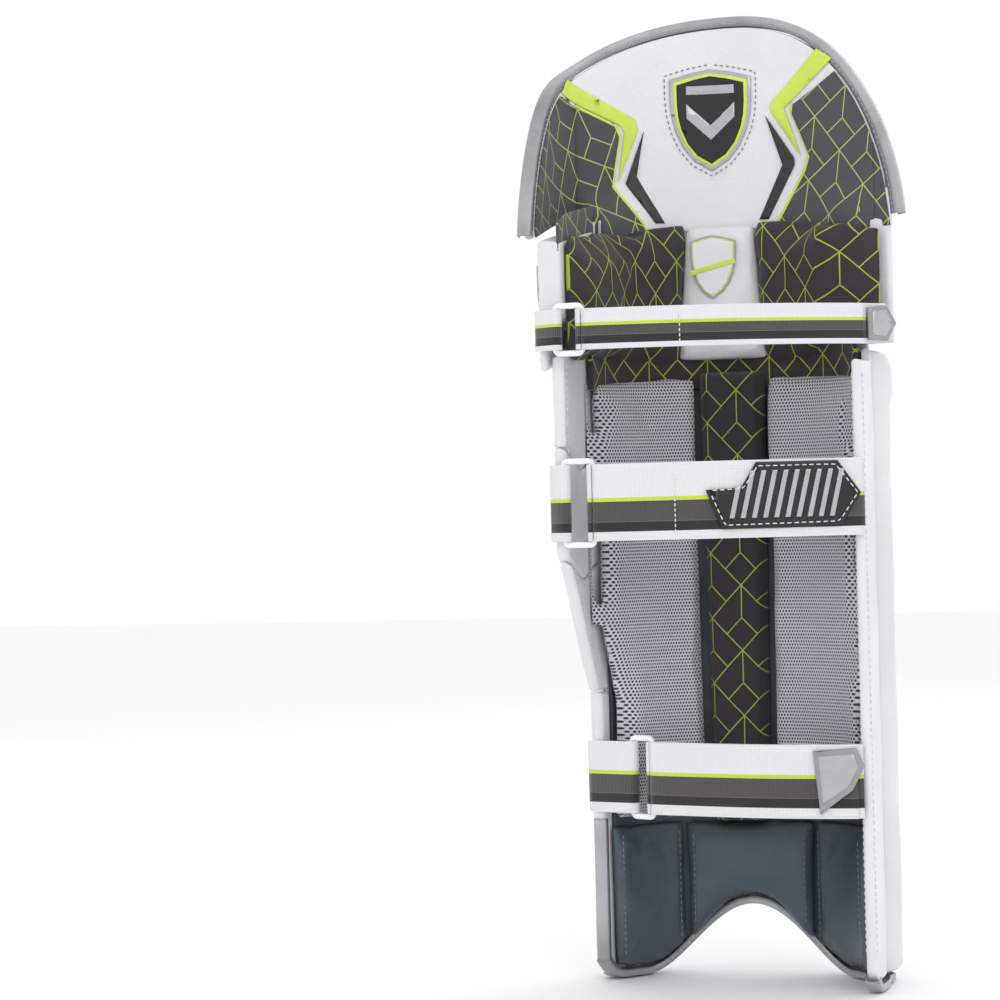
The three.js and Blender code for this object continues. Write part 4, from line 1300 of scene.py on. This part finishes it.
def build_tabs(knee, calf, ankle):
    n = knee.length
    corners = [(n - 16, 455), (n - 2, 456.5), (n + 5, 444.5), (n - 2, 432.5), (n - 16, 434)]
    applique("knee_tab_moulded", knee, corners, 2.0, 4.4, tab_silver, "knee_strap_end", bevel=0.7,
             stands_for=["knee_tab"])
    inset = [(n - 13.5, 452.5), (n - 3.5, 453.5), (n + 1.8, 444.5), (n - 3.5, 435.5), (n - 13.5, 436.5)]
    applique(
        "knee_tab_field", knee, inset, 4.4, 4.9, badge_silver, "knee_strap_end", bevel=0.3,
        slot="tab_silver",
    )
    n = calf.length
    corners = [
        (n - 99, 336), (n - 76, 337), (n - 66, 353.5), (n - 13, 353.5), (n + 2, 332), (n - 11, 311),
        (n - 89, 310),
    ]
    applique("calf_tab_patch", calf, corners, 2.0, 4.0, badge_black, "calf_strap_end", bevel=0.6,
             stands_for=["calf_tab"], slot="tab_silver")
    for k in range(11):
        left = n - 84 + k * 7.2
        top = min(348, 337 + 1.6 * max(0, left + 8.6 - (n - 76)))
        lean = (top - 317) * 7 / 31
        bar = [(left, 317), (left + 3.2, 317), (left + 3.2 + lean, top), (left + lean, top)]
        bar = [(u, z) for u, z in bar if u < n - 4]
        if len(bar) == 4:
            applique(
                f"calf_tab_hatch_{k + 1}", calf, bar, 4.0, 4.6, badge_silver, "calf_strap_end", bevel=0.2,
                slot="tab_silver",
            )
    border = corners + corners[:1]
    middle = (n - 48, 332)
    inner = [(lerp(u, middle[0], 0.05), lerp(z, middle[1], 0.12)) for u, z in border]
    stitches("calf_tab_stitching", [(calf, inner, 4.1)], white_thread, "calf_strap_end", slot="tab_silver")
    n = ankle.length
    corners = [(n - 32, 162), (n - 4, 164), (n + 1, 152), (n - 7, 136), (n - 28, 120)]
    applique("ankle_tab_moulded", ankle, corners, 2.0, 4.4, tab_silver, "ankle_strap_end", bevel=0.7,
             stands_for=["ankle_tab"])
    inset = [(n - 28.5, 158.5), (n - 6, 160), (n - 3, 152), (n - 9.5, 138.5), (n - 26, 127)]
    applique(
        "ankle_tab_field", ankle, inset, 4.4, 4.9, badge_silver, "ankle_strap_end", bevel=0.3,
        slot="tab_silver",
    )


def build_gussets():
    """The covers' leather and cloth carried across the two hinges, in front and behind."""
    front = panel(
        "knee_front_gusset", knee_line, (-96, 103),
        (lambda u: knee_seam(0)(u) - 13, lambda u: knee_seam(0)(u) + 6), 9.5, 6.5, white_leather, None,
        rim=0.8, step=4,
    )
    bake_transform(front)
    back = panel(
        "knee_back_gusset", shin_line, (-112, 136), (fixed(406), fixed(436)), -4.6, -8.5, knee_cloth,
        None, rim=1.5, step=4,
    )
    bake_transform(back)
    top = panel(
        "flap_front_gusset", apron_line, (-96, 103),
        (lambda u: knee_seam(3)(u) - 8, lambda u: knee_seam(3)(u) + 10), 6.5, 3.5, white_leather, None,
        rim=0.8, step=4,
    )
    across_hinge(top)


def build_boards():
    face = (-FACE_HALF + 0.4, FACE_HALF - 0.4)
    panel(
        "shin_board", shin_line, face, (lambda u: base_top(u) + 2.4, lambda u: shin_top(u) - 0.2), 2.8,
        0.2, canvas, "shin", rim=0.8, step=8, stands_for=["shin_stiffener"], slot="foam",
    )
    panel(
        "shin_board_cover", shin_line, face, (lambda u: base_top(u) + 2.4, lambda u: shin_top(u) - 0.2),
        -0.5, -2.9, slate, "shin", rim=0.8, step=8, stands_for=["shin_backing"], slot="canvas",
    )


# ---- Stage ----------------------------------------------------------------------------------------
def build_stage():
    floor_mesh = bpy.data.meshes.new("floor")
    floor_mesh.from_pydata(
        [(x, y, -0.0005) for x, y in ((-6, -6), (6, -6), (6, 6), (-6, 6))], [], [(0, 1, 2, 3)],
    )
    look = Look("floor", 0.6)
    look.color(look.mix(look.noise(3.0), rgb(250, 250, 250), rgb(246, 246, 247)))
    floor_mesh.materials.append(look.material)
    floor = bpy.data.objects.new("floor", floor_mesh)
    bpy.context.scene.collection.objects.link(floor)
    world = bpy.data.worlds.new("studio")
    bpy.context.scene.world = world
    world.use_nodes = True
    world.node_tree.nodes["Background"].inputs["Color"].default_value = (1, 1, 1, 1)
    world.node_tree.nodes["Background"].inputs["Strength"].default_value = 1.0
    lamps = [
        ((-1.2, 1.9, 1.7), 1.2, 7), ((1.7, 1.3, 1.0), 1.0, 2), ((-1.1, -2.0, 1.5), 1.2, 7),
        ((1.6, -1.4, 1.1), 1.0, 2),
    ]
    for k, (place, size, power) in enumerate(lamps):
        light = bpy.data.lights.new(f"softbox_{k}", "AREA")
        light.size, light.energy = size, power
        lamp = bpy.data.objects.new(f"softbox_{k}", light)
        lamp.location = place
        lamp.rotation_euler = (Vector((0, 0, 0.33)) - Vector(place)).to_track_quat("-Z", "Y").to_euler()
        bpy.context.scene.collection.objects.link(lamp)
    bpy.context.scene.view_settings.view_transform = "Standard"


def build_camera():
    """The back of the pad from 10 degrees off square and 2 m away, right of the frame's middle."""
    azimuth, distance, eye_height, lens = math.radians(190), 2.0, 0.333, 105.6
    yaw, roll = math.radians(4.37), math.radians(1.5)
    back = Vector((math.sin(azimuth), -math.cos(azimuth), 0))
    place = back * distance + Vector((0, 0, eye_height))
    data = bpy.data.cameras.new("camera")
    data.lens, data.sensor_width, data.clip_end = lens, 36, 50
    camera = bpy.data.objects.new("camera", data)
    bpy.context.scene.collection.objects.link(camera)
    turn = (-back).to_track_quat("-Z", "Y").to_matrix()
    turn = Matrix.Rotation(yaw, 3, "Z") @ turn @ Matrix.Rotation(-roll, 3, "Z")
    camera.matrix_world = Matrix.Translation(place) @ turn.to_4x4()
    bpy.context.scene.camera = camera


build_camera()
build_stage()
build_boards()
build_gussets()
build_shin_front()
build_instep()
badge("instep_front_badge", shin_line, 0, 86, 40, 48, 20.8, 1, "shin", ["instep_badge"])
build_base_binding()
build_wings()
build_bolsters()
build_ankle_lining()
build_knee_front()
build_knee_sides()
build_knee_cushions()
build_flap_front()
build_flap_edge()
build_flap_back()
build_straps()
